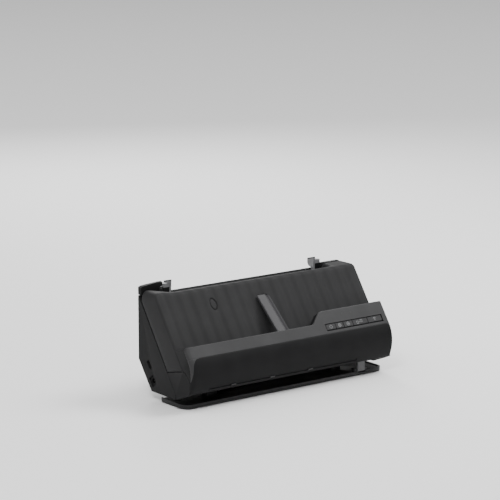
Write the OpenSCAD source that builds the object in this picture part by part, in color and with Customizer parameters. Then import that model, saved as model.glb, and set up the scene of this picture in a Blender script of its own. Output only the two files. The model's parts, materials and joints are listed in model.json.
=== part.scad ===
// Sheet fed document scanner on a tilting stand, in millimetres.
// X runs along the width, the front faces -Y, and the stand rests on Z = 0.
// Places on the slanted paper path are given as (s, n): s runs up the path, n stands off it to the front.

/* [Body] */
// Overall width of the body
body_w = 295; // [280:1:360]
// Rear face of the housing, behind the origin
rear_y = 51; // [49:0.5:62]
// Height of the housing's underside above the table
bottom_z = 9; // [8.5:0.5:12]
// Where the rear slope leaves the underside
slope_y = 25.5; // [24:0.5:32]
// Height at which the rear slope meets the rear face
slope_z = 42.5; // [38:0.5:50]
// Wall of the housings
wall = 2.5; // [2:0.1:3]
// Height of the raised left end of the cover
cover_top = 124.5; // [122:0.5:150]
// Drop from there to the crown and the right end of the cover
crown_drop = 2.2; // [1:0.1:4]
// Drop from there to the rear edge of the throat behind the crown
scoop = 8; // [7:0.5:9]
// Length of each end
shoulder_l = 27; // [26:0.5:32]
// Rounding of the upper left corner
shoulder_r = 7; // [3:0.5:7]
// Thickness of the cover's end walls
cap_t = 5.5; // [5:0.1:6.5]

/* [Paper path] */
// Lean of the path from upright, in degrees
path_lean = 35; // [34:0.5:36]
// Front unit: distance from the path to the ribbed face
slab_t = 29; // [28:0.5:32]
// Half of the gap that the paper runs in
half_gap = 0.8; // [0.6:0.1:1]
// Thickness of the moulded paper guides
guide_t = 2; // [1.6:0.1:2.2]
// Widest paper
paper_w = 216; // [200:1:220]
// Clear width of the turn at the foot of the path
turn_gap = 4.5; // [4:0.1:5]
// Thickness of the outer turn guide
turn_t = 1.5; // [1.2:0.1:1.8]

/* [Front panel] */
// Distance from the path to the face of the strip
panel_n = 49; // [48:0.5:52]
// Lower edge of the strip, up the path
strip_s = 23.7; // [23:0.1:25]
// Width of the strip
strip_w = 14.5; // [14:0.5:18]
// Width of the strip where it becomes the control panel
panel_w = 29.3; // [28:0.1:34]
// Foremost point of the front panel
front_y = -56; // [-58:0.5:-55.5]
// Left end of the slanted step up to the control panel
step_x = 36.5; // [20:0.5:40]
// Length of the slanted step
step_l = 15.5; // [10:0.5:18]
// Depth of the skirt under the slanted step
skirt_h = 9; // [4:0.5:11]
// Plate thickness of the strip
strip_t = 2.5; // [2:0.1:3]

/* [Controls] */
// Left end of the row of buttons
button_x = 54; // [54:0.5:58]
// Widths of the five buttons
button_ws = [13.9, 11.4, 13.4, 22.3, 21.4];
// Size of a button across the strip
button_h = 7; // [5:0.5:8]
// Travel of a button
button_travel = 0.8; // [0.4:0.1:1]
// Width of the output arm
arm_w = 16.7; // [12:0.1:22]
// Reach of the output arm up the cover
arm_l = 54; // [45:1:58]

/* [Stand] */
// Front edge of the stand plate
plate_front = -40; // [-44:0.5:-39]
// Rear edge of the plate's wide part
plate_mid = 8; // [2:0.5:9]
// Rear edge of the plate's narrow part
plate_rear = 46; // [40:0.5:50]
// Width of the plate's narrow part
neck_w = 210; // [160:1:230]
// Plate thickness
plate_t = 3.2; // [2.8:0.1:3.4]
// Height of the rim above the plate
rim_h = 1.3; // [0.8:0.1:1.5]
// Distance of each tilt ear from the middle
ear_x = 60; // [45:1:66]
// Thickness of a tilt ear
ear_t = 8; // [6:0.5:9]

/* [Rollers and drive] */
// Diameter of the driven tyres
tyre_d = 16; // [15:0.1:16]
// Diameter of the driven shafts
shaft_d = 6; // [4:0.1:7.4]
// Place of the lower transport roller, up the path
lower_s = 20; // [19.5:0.1:20.5]
// Tooth size of the drive gears
gear_m = 1; // [0.98:0.01:1.02]
// Diameter of the pinch rollers
pinch_d = 10; // [8:0.1:10.4]
// Diameter of the motor
motor_d = 21; // [16:0.5:22]
// Length of the motor
motor_l = 18; // [12:0.5:20]

/* [Edge guides] */
// Height of a guide above the rear edge of the mouth
guide_h = 15.1; // [12:0.1:19]
// Thickness of a guide's fin
fin_t = 2.6; // [2:0.1:3.2]

/* [Fits] */
// Clearance between parts that move past each other
clear = 0.4; // [0.3:0.05:0.5]
// Radial clearance of a shaft in its bore
run_fit = 0.05; // [0.03:0.01:0.1]
// Visible seam between neighbouring covers
seam = 0.6; // [0.4:0.1:0.8]

/* [Hidden] */

$fn = 48;
hw = body_w/2;

// Foot of the paper path, and the turning centres of the tilt and of the front unit
path_y = -23;
path_z = 14;
tilt_y = 20;
tilt_z = 24;
hinge_y = -43;
hinge_z = 25;
hinge_d = 5;
tilt_pin_d = 6;

// A point of the path frame as (y, z)
function P(s, n) = [path_y + s*sin(path_lean) - n*cos(path_lean),
                    path_z + s*cos(path_lean) + n*sin(path_lean)];
// Where a line at stand-off n reaches a given y or z
function s_at_y(y, n) = (y - path_y + n*cos(path_lean))/sin(path_lean);
function s_at_z(z, n) = (z - path_z - n*sin(path_lean))/cos(path_lean);

function unit(v) = v/norm(v);
function left(v) = [-v[1], v[0]];
function turned(v, a) = [v[0]*cos(a) - v[1]*sin(a), v[0]*sin(a) + v[1]*cos(a)];
function reversed(list) = [for (i = [len(list) - 1:-1:0]) list[i]];
// Mean offset direction at a corner between two unit directions
function corner(a, b) = (left(a) + left(b))/(1 + left(a)*left(b));
// An open line moved to its left by d
function moved_line(p, d) = [for (i = [0:len(p) - 1])
    let (a = unit(p[max(i, 1)] - p[max(i, 1) - 1]),
         b = unit(p[min(i + 1, len(p) - 1)] - p[min(i, len(p) - 2)]))
    p[i] + d*corner(a, b)];
// A closed outline whose corners are rounded, each with its own radius
function rounded(p, r, k = 5) = [for (i = [0:len(p) - 1])
    let (m = len(p),
         a = unit(p[i] - p[(i + m - 1)%m]),
         b = unit(p[(i + 1)%m] - p[i]),
         bend = atan2(cross(a, b), a*b),
         side = bend < 0 ? -1 : 1)
    each r[i] == 0 ? [p[i]] : [for (j = [0:k])
        p[i] + side*r[i]*corner(a, b) + turned(-side*r[i]*left(a), bend*j/k)]];

// A bar along X with a (y, z) outline, a plate on the path with an (x, s) outline, a box, a peg and a
// round bar,
// and a block along Y with an (x, z) outline
module prism(x0, x1, outline) {
    translate([x0, 0, 0]) rotate([90, 0, 90]) linear_extrude(x1 - x0) polygon(outline);
}
module on_path() {
    translate([0, path_y, path_z]) rotate([-path_lean, 0, 0]) children();
}
module plate(n0, n1, outline) {
    on_path() translate([0, -n0, 0]) rotate([90, 0, 0]) linear_extrude(n1 - n0) polygon(outline);
}
module path_box(x0, x1, n0, n1, s0, s1) {
    on_path() translate([x0, -n1, s0]) cube([x1 - x0, n1 - n0, s1 - s0]);
}
module path_peg(x, s, n0, n1, d) {
    on_path() translate([x, -n0, s]) rotate([90, 0, 0]) cylinder(d = d, h = n1 - n0);
}
module rod(x0, x1, yz, d) {
    translate([x0, yz[0], yz[1]]) rotate([0, 90, 0]) cylinder(d = d, h = x1 - x0);
}
module front_cut(outline) {
    translate([0, 100, 0]) rotate([90, 0, 0]) linear_extrude(200) polygon(outline);
}
module both_ends() {
    children();
    mirror([1, 0, 0]) children();
}
module on_slope() {
    translate([0, slope_y, bottom_z]) rotate([-slope_a, 0, 0]) children();
}
module slope_box(x0, x1, y0, y1, z0, z1) {
    on_slope() translate([x0, y0, z0]) cube([x1 - x0, y1 - y0, z1 - z0]);
}

slope_a = atan2(rear_y - slope_y, slope_z - bottom_z);

// Rear unit outline
lip_y = -22;
tip_w = 1.2;
tip_s = s_at_y(rear_y - tip_w, -half_gap);
tip_z = P(tip_s, -half_gap)[1] + 0.6;
tray_z = tip_z - 18.7;
skin_y = -18;
rear_outline = [[lip_y, bottom_z], [slope_y, bottom_z], [rear_y, slope_z], [rear_y, tip_z],
    P(tip_s, -half_gap), P(0, -half_gap)];
rear_line = [[skin_y, bottom_z], [slope_y, bottom_z], [rear_y, slope_z], [rear_y, tray_z]];
rear_inside = moved_line(rear_line, wall);
rear_skin = concat(rear_line, reversed(rear_inside));
inner_hw = hw - wall;

// Seams of the lower side cover: from the path forward, then down behind the front panel
seam_s = 28.7;
seam_fall = 0.404;
function seam_at(n) = seam_s - seam_fall*n;
side_t = 4;
side_n = -0.3;
side_front = [[-50.2, 19.9], [-49.3, 35]];
side_top = [-40, 45.3];
side_outline = rounded([side_front[0], [lip_y - 1, bottom_z], P(0, side_n), P(seam_s, side_n),
    P(seam_at(29), 29), side_top, side_front[1]], [6.5, 1.5, 0, 0, 0, 7, 3]);
cap_front = [side_front[0] + [-seam, 0.4], side_front[1] + [-seam, seam/2]];
cap_top = side_top + [-seam/2, seam];

// Front unit outline
top_rear_y = 44;
top_front_y = P(s_at_z(cover_top, slab_t), slab_t)[0];
cover_outline = rounded([P(seam_at(slab_t) + seam, slab_t), P(seam_at(half_gap) + seam, half_gap),
    P(s_at_y(top_rear_y, half_gap), half_gap), [top_rear_y, cover_top], [top_front_y, cover_top]],
    [0, 0, 0, 4, 7]);
skin_n = slab_t - wall;
crown_z = cover_top - crown_drop;
edge_z = cover_top - scoop;
throat_y = top_front_y + 3.5;
throat_fall = (crown_z - edge_z)/(top_rear_y - throat_y);
throat_x = [-hw + shoulder_l + 1.5, hw - shoulder_l - 3];
throat = [[throat_y, crown_z], [top_rear_y + 2, edge_z - 2*throat_fall], [top_rear_y + 2, cover_top + 2],
    [throat_y, cover_top + 2]];
roof_z = edge_z - wall;
cover_hollow = [P(0, skin_n), P(0, -2), P(s_at_y(top_rear_y - 1.1, -2), -2),
    [top_rear_y - wall, roof_z - 4],
    [top_rear_y - wall, roof_z], [throat_y, crown_z - wall - 0.5],
    P(s_at_z(crown_z - wall - 0.5, skin_n), skin_n)];
cover_front_view = rounded([[-hw, 0], [hw, 0], [hw, crown_z], [throat_x[0], crown_z], [-hw + 9, cover_top],
    [-hw, cover_top]], [0, 0, 2.5, 15, 8, shoulder_r]);
cap_hw = hw - cap_t;

// Turn at the foot of the path
turn_s = seam_at(slab_t) + seam - 0.2;
turn_r = (slab_t - half_gap)/2;
turn_n = half_gap + turn_r;
outer_r = turn_r + turn_gap;
function on_turn(r, a) = P(turn_s - r*sin(a), turn_n - r*cos(a));

// Front panel
strip_top = strip_s + strip_w;
panel_top = strip_s + panel_w;
under_n = panel_n - strip_t;
panel_foot = [-51, 20.8];
front_line = [P(strip_s, panel_n), [front_y + 2.6, 54.6], [front_y + 0.7, 48], [front_y, 41],
    [front_y + 0.6, 33.6], [front_y + 2.4, 27], panel_foot];
front_inside = moved_line(front_line, wall);
front_wall = concat(front_line, [for (i = [len(front_line) - 1:-1:1]) front_inside[i]],
    [P(strip_s, panel_n - wall)]);
floor_rear = [-37, 15.3];
floor_wall = [panel_foot, floor_rear, floor_rear + [0, 2.2], panel_foot + [0.9, 2.2]];
frame_t = 3.5;
frame_x = cap_hw - frame_t;

// Buttons and the board under them
button_gap = 0.6;
button_s = strip_s + 4.7;
function button_left(i) = i == 0 ? button_x : button_left(i - 1) + button_ws[i - 1] + button_gap;
buttons_end = button_left(4) + button_ws[4];
button_top_n = panel_n - 0.5;
button_cap = 3.6;
board_top_n = panel_n - 7.4;
board_t = 1.6;
switch_top_n = button_top_n - button_cap - button_travel - 0.2;
lights = [[84, strip_s + 22], [97, strip_s + 22]];
light_d = 2;
post_d = 5;
screw_d = 2.6;
board_posts = [[button_x + 1, strip_s + 20], [buttons_end - 4, strip_s + 20]];

// Output arm
arm_x = -4;
arm_s = strip_top - 2.2;
arm_n = panel_n - 5;
arm_pin_d = 2.4;
lug_t = 2.6;

// Chassis and shafts
chassis_x = paper_w/2 + 6;
chassis_t = 2;
lane_n = -tyre_d/2;
gear_z = 18;
low_idler_z = 14;
top_idler_z = 12;
motor_z = 12;
lower_idler_s = lower_s + gear_m*(gear_z + low_idler_z)/2;
upper_s = lower_s + gear_m*(gear_z + low_idler_z);
upper_idler_s = upper_s + gear_m*(gear_z + top_idler_z)/2;
feed_s = upper_s + gear_m*(gear_z + top_idler_z);
gear_x = chassis_x + chassis_t + 1.5;
gear_w = 5;
gear_r = gear_m*(gear_z/2 + 1.4);
motor_x = gear_x + gear_w + 1.5;
motor_at = P(lower_idler_s, lane_n - gear_m*(low_idler_z + motor_z)/2);
bush_d = shaft_d + 4;
axle_d = 4;
drive_shafts = [P(lower_s, lane_n), P(upper_s, lane_n), P(feed_s, lane_n)];
idler_axles = [P(lower_idler_s, lane_n), P(upper_idler_s, lane_n)];
tyre_w = 14;
tyre_xs = [-60, -20, 20, 60];
feed_xs = [-14, 14];
separation_d = 16;
sensor_hw = paper_w/2 + 3;
sensor_s0 = lower_s + tyre_d/2 + 1.2;
sensor_s1 = upper_s - tyre_d/2 - 1.2;
glass_hw = paper_w/2 + 1;
pinch_n = pinch_d/2 + 0.3;
exit_s = strip_s + 6.3;
exit_d = 11.4;
exit_n = slab_t + 0.3 - exit_d/2;
exit_pinch_n = slab_t + 0.6 + pinch_d/2;
pinch_shaft_d = 3;

// Edge guides and their racks
rack_m = 0.8;
rack_z = 14;
rack_r = rack_m*rack_z/2;
rack_s = feed_s + tyre_d/2 + 1 + 1.8 + 1.2*rack_m + rack_r;
rack_n = -7.4;
rack_t = 2.4;
foot_n = -4.3;
foot_t = 1.2;
fin_n = -half_gap + clear;
slot_s = s_at_y(top_rear_y + seam + 0.2, -half_gap);
slot_w = 2.6;
fin_in = 105.4;
rack_reach = 8;
rack_pin_d = 3;
carriage_x = fin_in + fin_t + 5.4;

// Flap
flap_at = P(8, -4.5);
flap_pin_d = 3;
flap_hw = chassis_x - clear;

// Stand
foot_h = 1;
plate_z = foot_h;
plate_top = plate_z + plate_t;
rim_w = 2.5;
lever_x = 106.7;
lever_w = 11;
lever_at = [-36, 6.6];
lever_top = 20.4;
lever_pin_d = 2.6;
notch_gap = 2;

// Release lever at the left rear corner
latch_x = [-hw, -hw + 26];
latch_lug = 4;
latch_at = [rear_y - 3.4, cover_top - 5.1];
latch_pin_d = 2.4;
latch_top = cover_top + 6.5;

// Toothed outlines: a wheel about a (y, z) centre and a straight rack along x
function tooth(r, a, half) = [r*cos(a + half), r*sin(a + half)];
function wheel(at, z, m, turn) = [for (i = [0:z - 1], k = [0:3])
    let (a = turn + 360*i/z, p = 360/z)
    at + tooth(k == 0 || k == 3 ? m*(z/2 - 1.15) : m*(z/2 + 0.75), a, p*[-0.25, -0.1, 0.1, 0.25][k])];
function meshed(turn, z, z2, dir) = dir + 180 - 360/z2*(0.5 - (dir - turn)*z/360);
path_dir = 90 - path_lean;
lower_turn = path_dir;
low_idler_turn = meshed(lower_turn, gear_z, low_idler_z, path_dir);
upper_turn = meshed(low_idler_turn, low_idler_z, gear_z, path_dir);
top_idler_turn = meshed(upper_turn, gear_z, top_idler_z, path_dir);
feed_turn = meshed(top_idler_turn, top_idler_z, gear_z, path_dir);
motor_turn = meshed(low_idler_turn, low_idler_z, motor_z, -path_lean);

module gear(at, z, turn, bore) {
    difference() {
        prism(gear_x, gear_x + gear_w, wheel(at, z, gear_m, turn));
        rod(gear_x - 1, gear_x + gear_w + 1, at, bore);
    }
}
module roller_shaft(at) {
    rod(-chassis_x - chassis_t - 1, gear_x + gear_w + 0.5, at, shaft_d);
}
module tyres(at, xs, w, d, bore) {
    for (x = xs)
        difference() {
            rod(x - w/2, x + w/2, at, d);
            rod(x - w/2 - 1, x + w/2 + 1, at, bore);
        }
}
module ring(x0, x1, at, d, bore) {
    difference() {
        rod(x0, x1, at, d);
        rod(x0 - 1, x1 + 1, at, bore);
    }
}

// Stand

stand_plan = rounded([[-hw, plate_front], [hw, plate_front], [hw, plate_mid], [neck_w/2 + 4, plate_mid],
    [neck_w/2, plate_mid + 6], [neck_w/2, plate_rear], [-neck_w/2, plate_rear], [-neck_w/2, plate_mid + 6],
    [-neck_w/2 - 4, plate_mid], [-hw, plate_mid]], [11, 11, 3, 3, 3, 9, 9, 3, 3, 3]);
rim_plan = rounded([[-hw + rim_w, plate_front + rim_w], [hw - rim_w, plate_front + rim_w],
    [hw - rim_w, plate_rear + 1], [-hw + rim_w, plate_rear + 1]], [8.5, 8.5, 0, 0]);
foot_places = [[-hw + 16, plate_front + 12], [hw - 16, plate_front + 12],
    [-neck_w/2 + 12, plate_rear - 12], [neck_w/2 - 12, plate_rear - 12]];
foot_d = 12;
foot_in = 1;

module base_plate() {
    color([0.2, 0.2, 0.21])
    difference() {
        union() {
            translate([0, 0, plate_z]) linear_extrude(plate_t) polygon(stand_plan);
            difference() {
                translate([0, 0, plate_top]) linear_extrude(rim_h) polygon(stand_plan);
                translate([0, 0, plate_top - 1]) linear_extrude(rim_h + 2) polygon(rim_plan);
                translate([-neck_w/2 - 6, plate_mid - 0.5, plate_top]) cube([neck_w + 12, 60, rim_h + 1]);
            }
            both_ends() {
                prism(ear_x - ear_t/2, ear_x + ear_t/2, [[tilt_y - 12, plate_top - 1],
                    [tilt_y + 10, plate_top - 1],
                    [tilt_y + 6.5, tilt_z], [tilt_y - 6.5, tilt_z]]);
                rod(ear_x - ear_t/2, ear_x + ear_t/2, [tilt_y, tilt_z], 13);
                translate([neck_w/2 - 20, -16, plate_top - 1]) cube([14, 10, bottom_z - plate_top + 0.7]);
            }
            for (x = [lever_x - clear - 4, lever_x + lever_w + clear])
                translate([x, lever_at[0] - 2.8, plate_top - 1]) cube([4, 5.6,
                    lever_at[1] - plate_top + 3.4]);
        }
        both_ends() rod(ear_x - ear_t, ear_x + ear_t, [tilt_y, tilt_z], tilt_pin_d);
        rod(lever_x - 5, lever_x + lever_w + 5, lever_at, lever_pin_d + 2*run_fit);
        translate([lever_x - clear, plate_front - 1, plate_top - 0.6])
            cube([lever_w + 2*clear, 9.5, rim_h + 1]);
        for (p = foot_places)
            translate([p[0], p[1], plate_z - 1]) cylinder(d = foot_d, h = foot_in + 1);
    }
}

module base_feet() {
    color([0.08, 0.08, 0.08])
    for (p = foot_places)
        translate([p[0], p[1], 0]) cylinder(d = foot_d, h = foot_h + foot_in);
}

module tilt_pins() {
    color("silver")
    both_ends() rod(ear_x - ear_t/2 - 4.4, ear_x + ear_t/2 + 4.4, [tilt_y, tilt_z], tilt_pin_d);
}

module tilt_lever() {
    color([0.36, 0.36, 0.38])
    union() {
        rod(lever_x, lever_x + lever_w, lever_at, 4.4);
        rod(lever_x - 4, lever_x + lever_w + 4, lever_at, lever_pin_d);
        prism(lever_x, lever_x + lever_w, rounded([[lever_at[0] - 3.6, lever_at[1] - 1.6],
            lever_at + [1, -1.6],
            lever_at + [1.2, 2], [lever_at[0] - 0.6, lever_top], [lever_at[0] - 3.6, lever_top]],
            [0.6, 0, 0, 1.4, 1.4]));
    }
}

// Rear unit

data_at = [26.7, -15];
power_at = [8.4, -9.8];
data_size = [3.2, 9];
power_size = [8, 10];
port_gap = [0.9, 0.9];
port_deep = 1.4;
module port(x0, x1, at, size) {
    slope_box(x0, x1, at[1] - size[0]/2, at[1] + size[0]/2, at[0] - size[1]/2, at[0] + size[1]/2);
}
board_y = -16.6;
board_x = [-cap_hw + 0.5, -ear_x - ear_t/2 - 7];
board_len = 37;
board_holes = [[board_x[0] + 22, 34], [board_x[1] - 4, 34], [board_x[1] - 4, 4]];

module rear_housing() {
    color([0.2, 0.2, 0.21])
    difference() {
        union() {
            prism(-inner_hw - 0.1, inner_hw + 0.1, rear_skin);
            both_ends() {
                prism(inner_hw, hw, rear_outline);
                for (x = [ear_x - ear_t/2 - 4.4, ear_x + ear_t/2 + 1.4]) {
                    prism(x, x + 3, [[tilt_y - 7, bottom_z + 1], [slope_y, bottom_z + 1],
                        [tilt_y + 7, tilt_z], [tilt_y - 7, tilt_z]]);
                    rod(x, x + 3, [tilt_y, tilt_z], 14);
                }
            }
            for (p = board_holes)
                on_slope() translate([p[0], -wall + 0.5, p[1]])
                    rotate([90, 0, 0]) cylinder(d = post_d, h = -board_y - wall + 0.5);
        }
        both_ends() {
            rod(ear_x - 20, ear_x + 20, [tilt_y, tilt_z], tilt_pin_d + 2*run_fit);
            translate([ear_x - ear_t/2 - 1.4, tilt_y - 13, bottom_z - 2])
                cube([ear_t + 2.8, rear_y, tilt_z + 5 - bottom_z]);
        }
        port(-hw - 1, -inner_hw + 1, data_at, data_size + 2*port_gap);
        port(-hw - 1, -inner_hw + 1, power_at, power_size + 2*port_gap);
        for (p = board_holes)
            on_slope() translate([p[0], -wall - 2, p[1]])
                rotate([90, 0, 0]) cylinder(d = screw_d, h = 30);
    }
}

guide_hw = inner_hw - 0.2;
guide_s0 = 9.5;
module roller_windows(n0, n1) {
    for (s = [lower_s, upper_s], x = tyre_xs)
        path_box(x - tyre_w/2 - 1, x + tyre_w/2 + 1, n0, n1, s - tyre_d/2 - 0.6, s + tyre_d/2 + 0.6);
    for (x = feed_xs)
        path_box(x - tyre_w/2 - 1, x + tyre_w/2 + 1, n0, n1, feed_s - tyre_d/2 - 0.6,
            feed_s + tyre_d/2 + 0.6);
}

module gear_window(n0, n1) {
    path_box(gear_x - 0.6, gear_x + gear_w + 0.6, n0, n1, lower_s - gear_r, feed_s + gear_r);
}

module rear_guide() {
    color([0.3, 0.3, 0.31])
    difference() {
        plate(-half_gap - guide_t, -half_gap, [[-cap_hw, guide_s0], [cap_hw, guide_s0], [cap_hw, seam_s],
            [guide_hw, seam_s], [guide_hw, slot_s], [-guide_hw, slot_s], [-guide_hw, seam_s],
                [-cap_hw, seam_s]]);
        path_box(-glass_hw - 0.1, glass_hw + 0.1, -10, 10, sensor_s0 + 2, sensor_s1 - 2);
        roller_windows(-10, 10);
        gear_window(-10, 10);
        path_peg(0, rack_s, -10, 10, rack_pin_d + 2*run_fit);
        both_ends()
            for (at = drive_shafts)
                rod(chassis_x - 1, chassis_x + chassis_t + 1, at, bush_d);
    }
}

tray_s = slot_s + slot_w;
tray_wall = 1.7;
tray_outline = [[rear_y - tray_wall, tray_z], [rear_y, tray_z], [rear_y, tip_z], P(tip_s, -half_gap),
    P(tray_s, -half_gap), [rear_y - tray_wall, P(tray_s, -half_gap)[1]]];
ear_y0 = top_rear_y + 0.6;
ear_r = 2.5;
module input_tray() {
    color([0.14, 0.14, 0.15])
    difference() {
        union() {
            prism(-inner_hw, inner_hw, tray_outline);
            intersection() {
                prism(hw - shoulder_l, hw, rounded([P(s_at_y(ear_y0, -half_gap), -half_gap),
                    P(tip_s, -half_gap), [rear_y, tip_z], [rear_y, crown_z],
                    [ear_y0, crown_z]], [0, 0, 0, 2, 1.5]));
                front_cut(rounded([[0, 0], [hw, 0], [hw, crown_z], [hw - shoulder_l, crown_z]],
                    [0, 0, ear_r, 0]));
            }
            prism(latch_x[1] + clear, latch_x[1] + clear + latch_lug,
                [P(s_at_y(ear_y0, -half_gap), -half_gap),
                P(tip_s - 0.6, -half_gap), [rear_y - 0.8, latch_at[1] + 2.6], [ear_y0, latch_at[1] + 2.6]]);
            for (x = [latch_x[1] + clear, hw - shoulder_l])
                path_box(x + 0.5, x + latch_lug - 0.5, -half_gap - 0.4, 0.4, tray_s + 0.5, tip_s - 1);
        }
        rod(latch_x[1], latch_x[1] + latch_lug + 3, latch_at, latch_pin_d + 2*run_fit);
    }
}

guide_back = -half_gap - guide_t;
chassis_outline = [P(5, guide_back - 0.1), [-13, rear_inside[0][1]], [8, rear_inside[0][1]],
    P(lower_s + 10, lane_n*2), P(feed_s + 11, lane_n*2), P(feed_s + 11, guide_back)];
motor_posts = [-125, 55];
motor_side_outline = [P(5, guide_back - 0.1), [-13, rear_inside[0][1]], [8, rear_inside[0][1]],
    motor_at + (motor_d/2 + 6)*[cos(-110), sin(-110)], motor_at + (motor_d/2 + 6)*[cos(0), sin(0)],
    motor_at + (motor_d/2 + 6)*[cos(70), sin(70)], P(upper_s + 10, lane_n*2), P(feed_s + 11, lane_n*2),
    P(feed_s + 11, guide_back)];
module chassis_plate(outline) {
    difference() {
        prism(chassis_x, chassis_x + chassis_t, outline);
        for (at = drive_shafts)
            rod(chassis_x - 1, chassis_x + 5, at, bush_d);
        rod(chassis_x - 1, chassis_x + 5, flap_at, flap_pin_d + 2*run_fit);
    }
}
module chassis_left() {
    color("silver") mirror([1, 0, 0]) chassis_plate(chassis_outline);
}
module chassis_right() {
    color("silver")
    union() {
        chassis_plate(motor_side_outline);
        for (at = idler_axles)
            rod(chassis_x + chassis_t - 0.5, gear_x + gear_w + 1, at, axle_d);
        for (a = motor_posts)
            rod(chassis_x + chassis_t - 0.5, motor_x, motor_at + (motor_d/2 + 2.5)*[cos(a), sin(a)], 4);
    }
}

module side_cover() {
    difference() {
        union() {
            prism(hw - side_t, hw, side_outline);
            prism(inner_hw - 2.5, inner_hw, [P(4, 4), P(5, -6), P(seam_s - 3, -6), P(seam_s - 3, 4)]);
            rod(hw - side_t - 1, hw - 1, [hinge_y, hinge_z], hinge_d + 5);
        }
        rod(hw - side_t - 3, hw - 1.2, [hinge_y, hinge_z], hinge_d);
    }
}
module side_cover_left() {
    color([0.2, 0.2, 0.21]) mirror([1, 0, 0]) side_cover();
}
module side_cover_right() {
    color([0.2, 0.2, 0.21]) side_cover();
}

module hinge_pins() {
    color("silver")
    both_ends() rod(frame_x - 0.5, hw - 1.2, [hinge_y, hinge_z], hinge_d);
}

module rear_sensor() {
    color([0.1, 0.1, 0.1])
    path_box(-sensor_hw, sensor_hw, -half_gap - guide_t - 11.2, -half_gap - guide_t - 0.2, sensor_s0,
        sensor_s1);
}
module rear_glass() {
    color([0.7, 0.8, 0.85])
    path_box(-glass_hw, glass_hw, -half_gap - guide_t - 0.2, -half_gap - 0.1, sensor_s0 + 2.1,
        sensor_s1 - 2.1);
}

module main_board() {
    color([0.05, 0.3, 0.15])
    difference() {
        slope_box(board_x[0], board_x[1], board_y - board_t, board_y, 1, board_len + 1);
        for (p = board_holes)
            on_slope() translate([p[0], board_y + 1, p[1]]) rotate([90, 0, 0]) cylinder(d = screw_d, h = 5);
    }
}

module data_socket() {
    color("silver")
    difference() {
        port(-hw + port_deep, -hw + 13, data_at, data_size);
        port(-hw - 1, -hw + 8, data_at, data_size - [0.8, 0.8]);
    }
}

module power_inlet() {
    color([0.05, 0.05, 0.05])
    union() {
        difference() {
            union() {
                port(-hw + port_deep, -hw + 14, power_at, power_size);
                slope_box(-inner_hw + 0.5, -hw + 14, board_y, power_at[1], power_at[0] - power_size[1]/2,
                    power_at[0] + power_size[1]/2);
            }
            on_slope() translate([-hw - 1, power_at[1], power_at[0]]) rotate([0, 90, 0]) cylinder(d = 6.4,
                h = 11);
        }
        on_slope() translate([-hw + port_deep + 1, power_at[1], power_at[0]])
            rotate([0, 90, 0]) cylinder(d = 2, h = 9);
    }
}

module motor() {
    color([0.6, 0.6, 0.62])
    difference() {
        union() {
            rod(motor_x, motor_x + motor_l, motor_at, motor_d);
            for (a = motor_posts)
                rod(motor_x, motor_x + 1.5, motor_at + (motor_d/2 + 2.5)*[cos(a), sin(a)], 7);
        }
        rod(motor_x - 1, motor_x + 4, motor_at, axle_d + 2);
    }
}

module shaft_bushes() {
    color([0.75, 0.6, 0.35])
    both_ends()
        for (at = drive_shafts)
            ring(chassis_x - 0.6, chassis_x + chassis_t + 0.6, at, bush_d, shaft_d + 2*run_fit);
}

module rear_screws() {
    color("silver")
    for (p = board_holes)
        on_slope() translate([p[0], board_y - board_t, p[1]]) rotate([90, 0, 0]) union() {
            cylinder(d = 5, h = 1.8);
            translate([0, 0, -6]) cylinder(d = screw_d, h = 6.2);
        }
}

module motor_pinion() {
    color([0.85, 0.85, 0.8])
    union() {
        prism(gear_x, gear_x + gear_w, wheel(motor_at, motor_z, gear_m, motor_turn));
        rod(gear_x + gear_w - 1, motor_x + 3, motor_at, axle_d);
    }
}
module lower_idler() {
    color([0.85, 0.85, 0.8]) gear(idler_axles[0], low_idler_z, low_idler_turn, axle_d + 2*run_fit);
}
module upper_idler() {
    color([0.85, 0.85, 0.8]) gear(idler_axles[1], top_idler_z, top_idler_turn, axle_d + 2*run_fit);
}
module lower_shaft() {
    color("silver") roller_shaft(drive_shafts[0]);
}
module upper_shaft() {
    color("silver") roller_shaft(drive_shafts[1]);
}
module feed_shaft() {
    color("silver") roller_shaft(drive_shafts[2]);
}
module lower_tyres() {
    color([0.15, 0.15, 0.15]) tyres(drive_shafts[0], tyre_xs, tyre_w, tyre_d, shaft_d);
}
module upper_tyres() {
    color([0.15, 0.15, 0.15]) tyres(drive_shafts[1], tyre_xs, tyre_w, tyre_d, shaft_d);
}
module feed_tyres() {
    color([0.25, 0.3, 0.35]) tyres(drive_shafts[2], feed_xs, tyre_w, tyre_d, shaft_d);
}
module lower_gear() {
    color([0.85, 0.85, 0.8]) gear(drive_shafts[0], gear_z, lower_turn, shaft_d);
}
module upper_gear() {
    color([0.85, 0.85, 0.8]) gear(drive_shafts[1], gear_z, upper_turn, shaft_d);
}
module feed_gear() {
    color([0.85, 0.85, 0.8]) gear(drive_shafts[2], gear_z, feed_turn, shaft_d);
}

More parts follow.
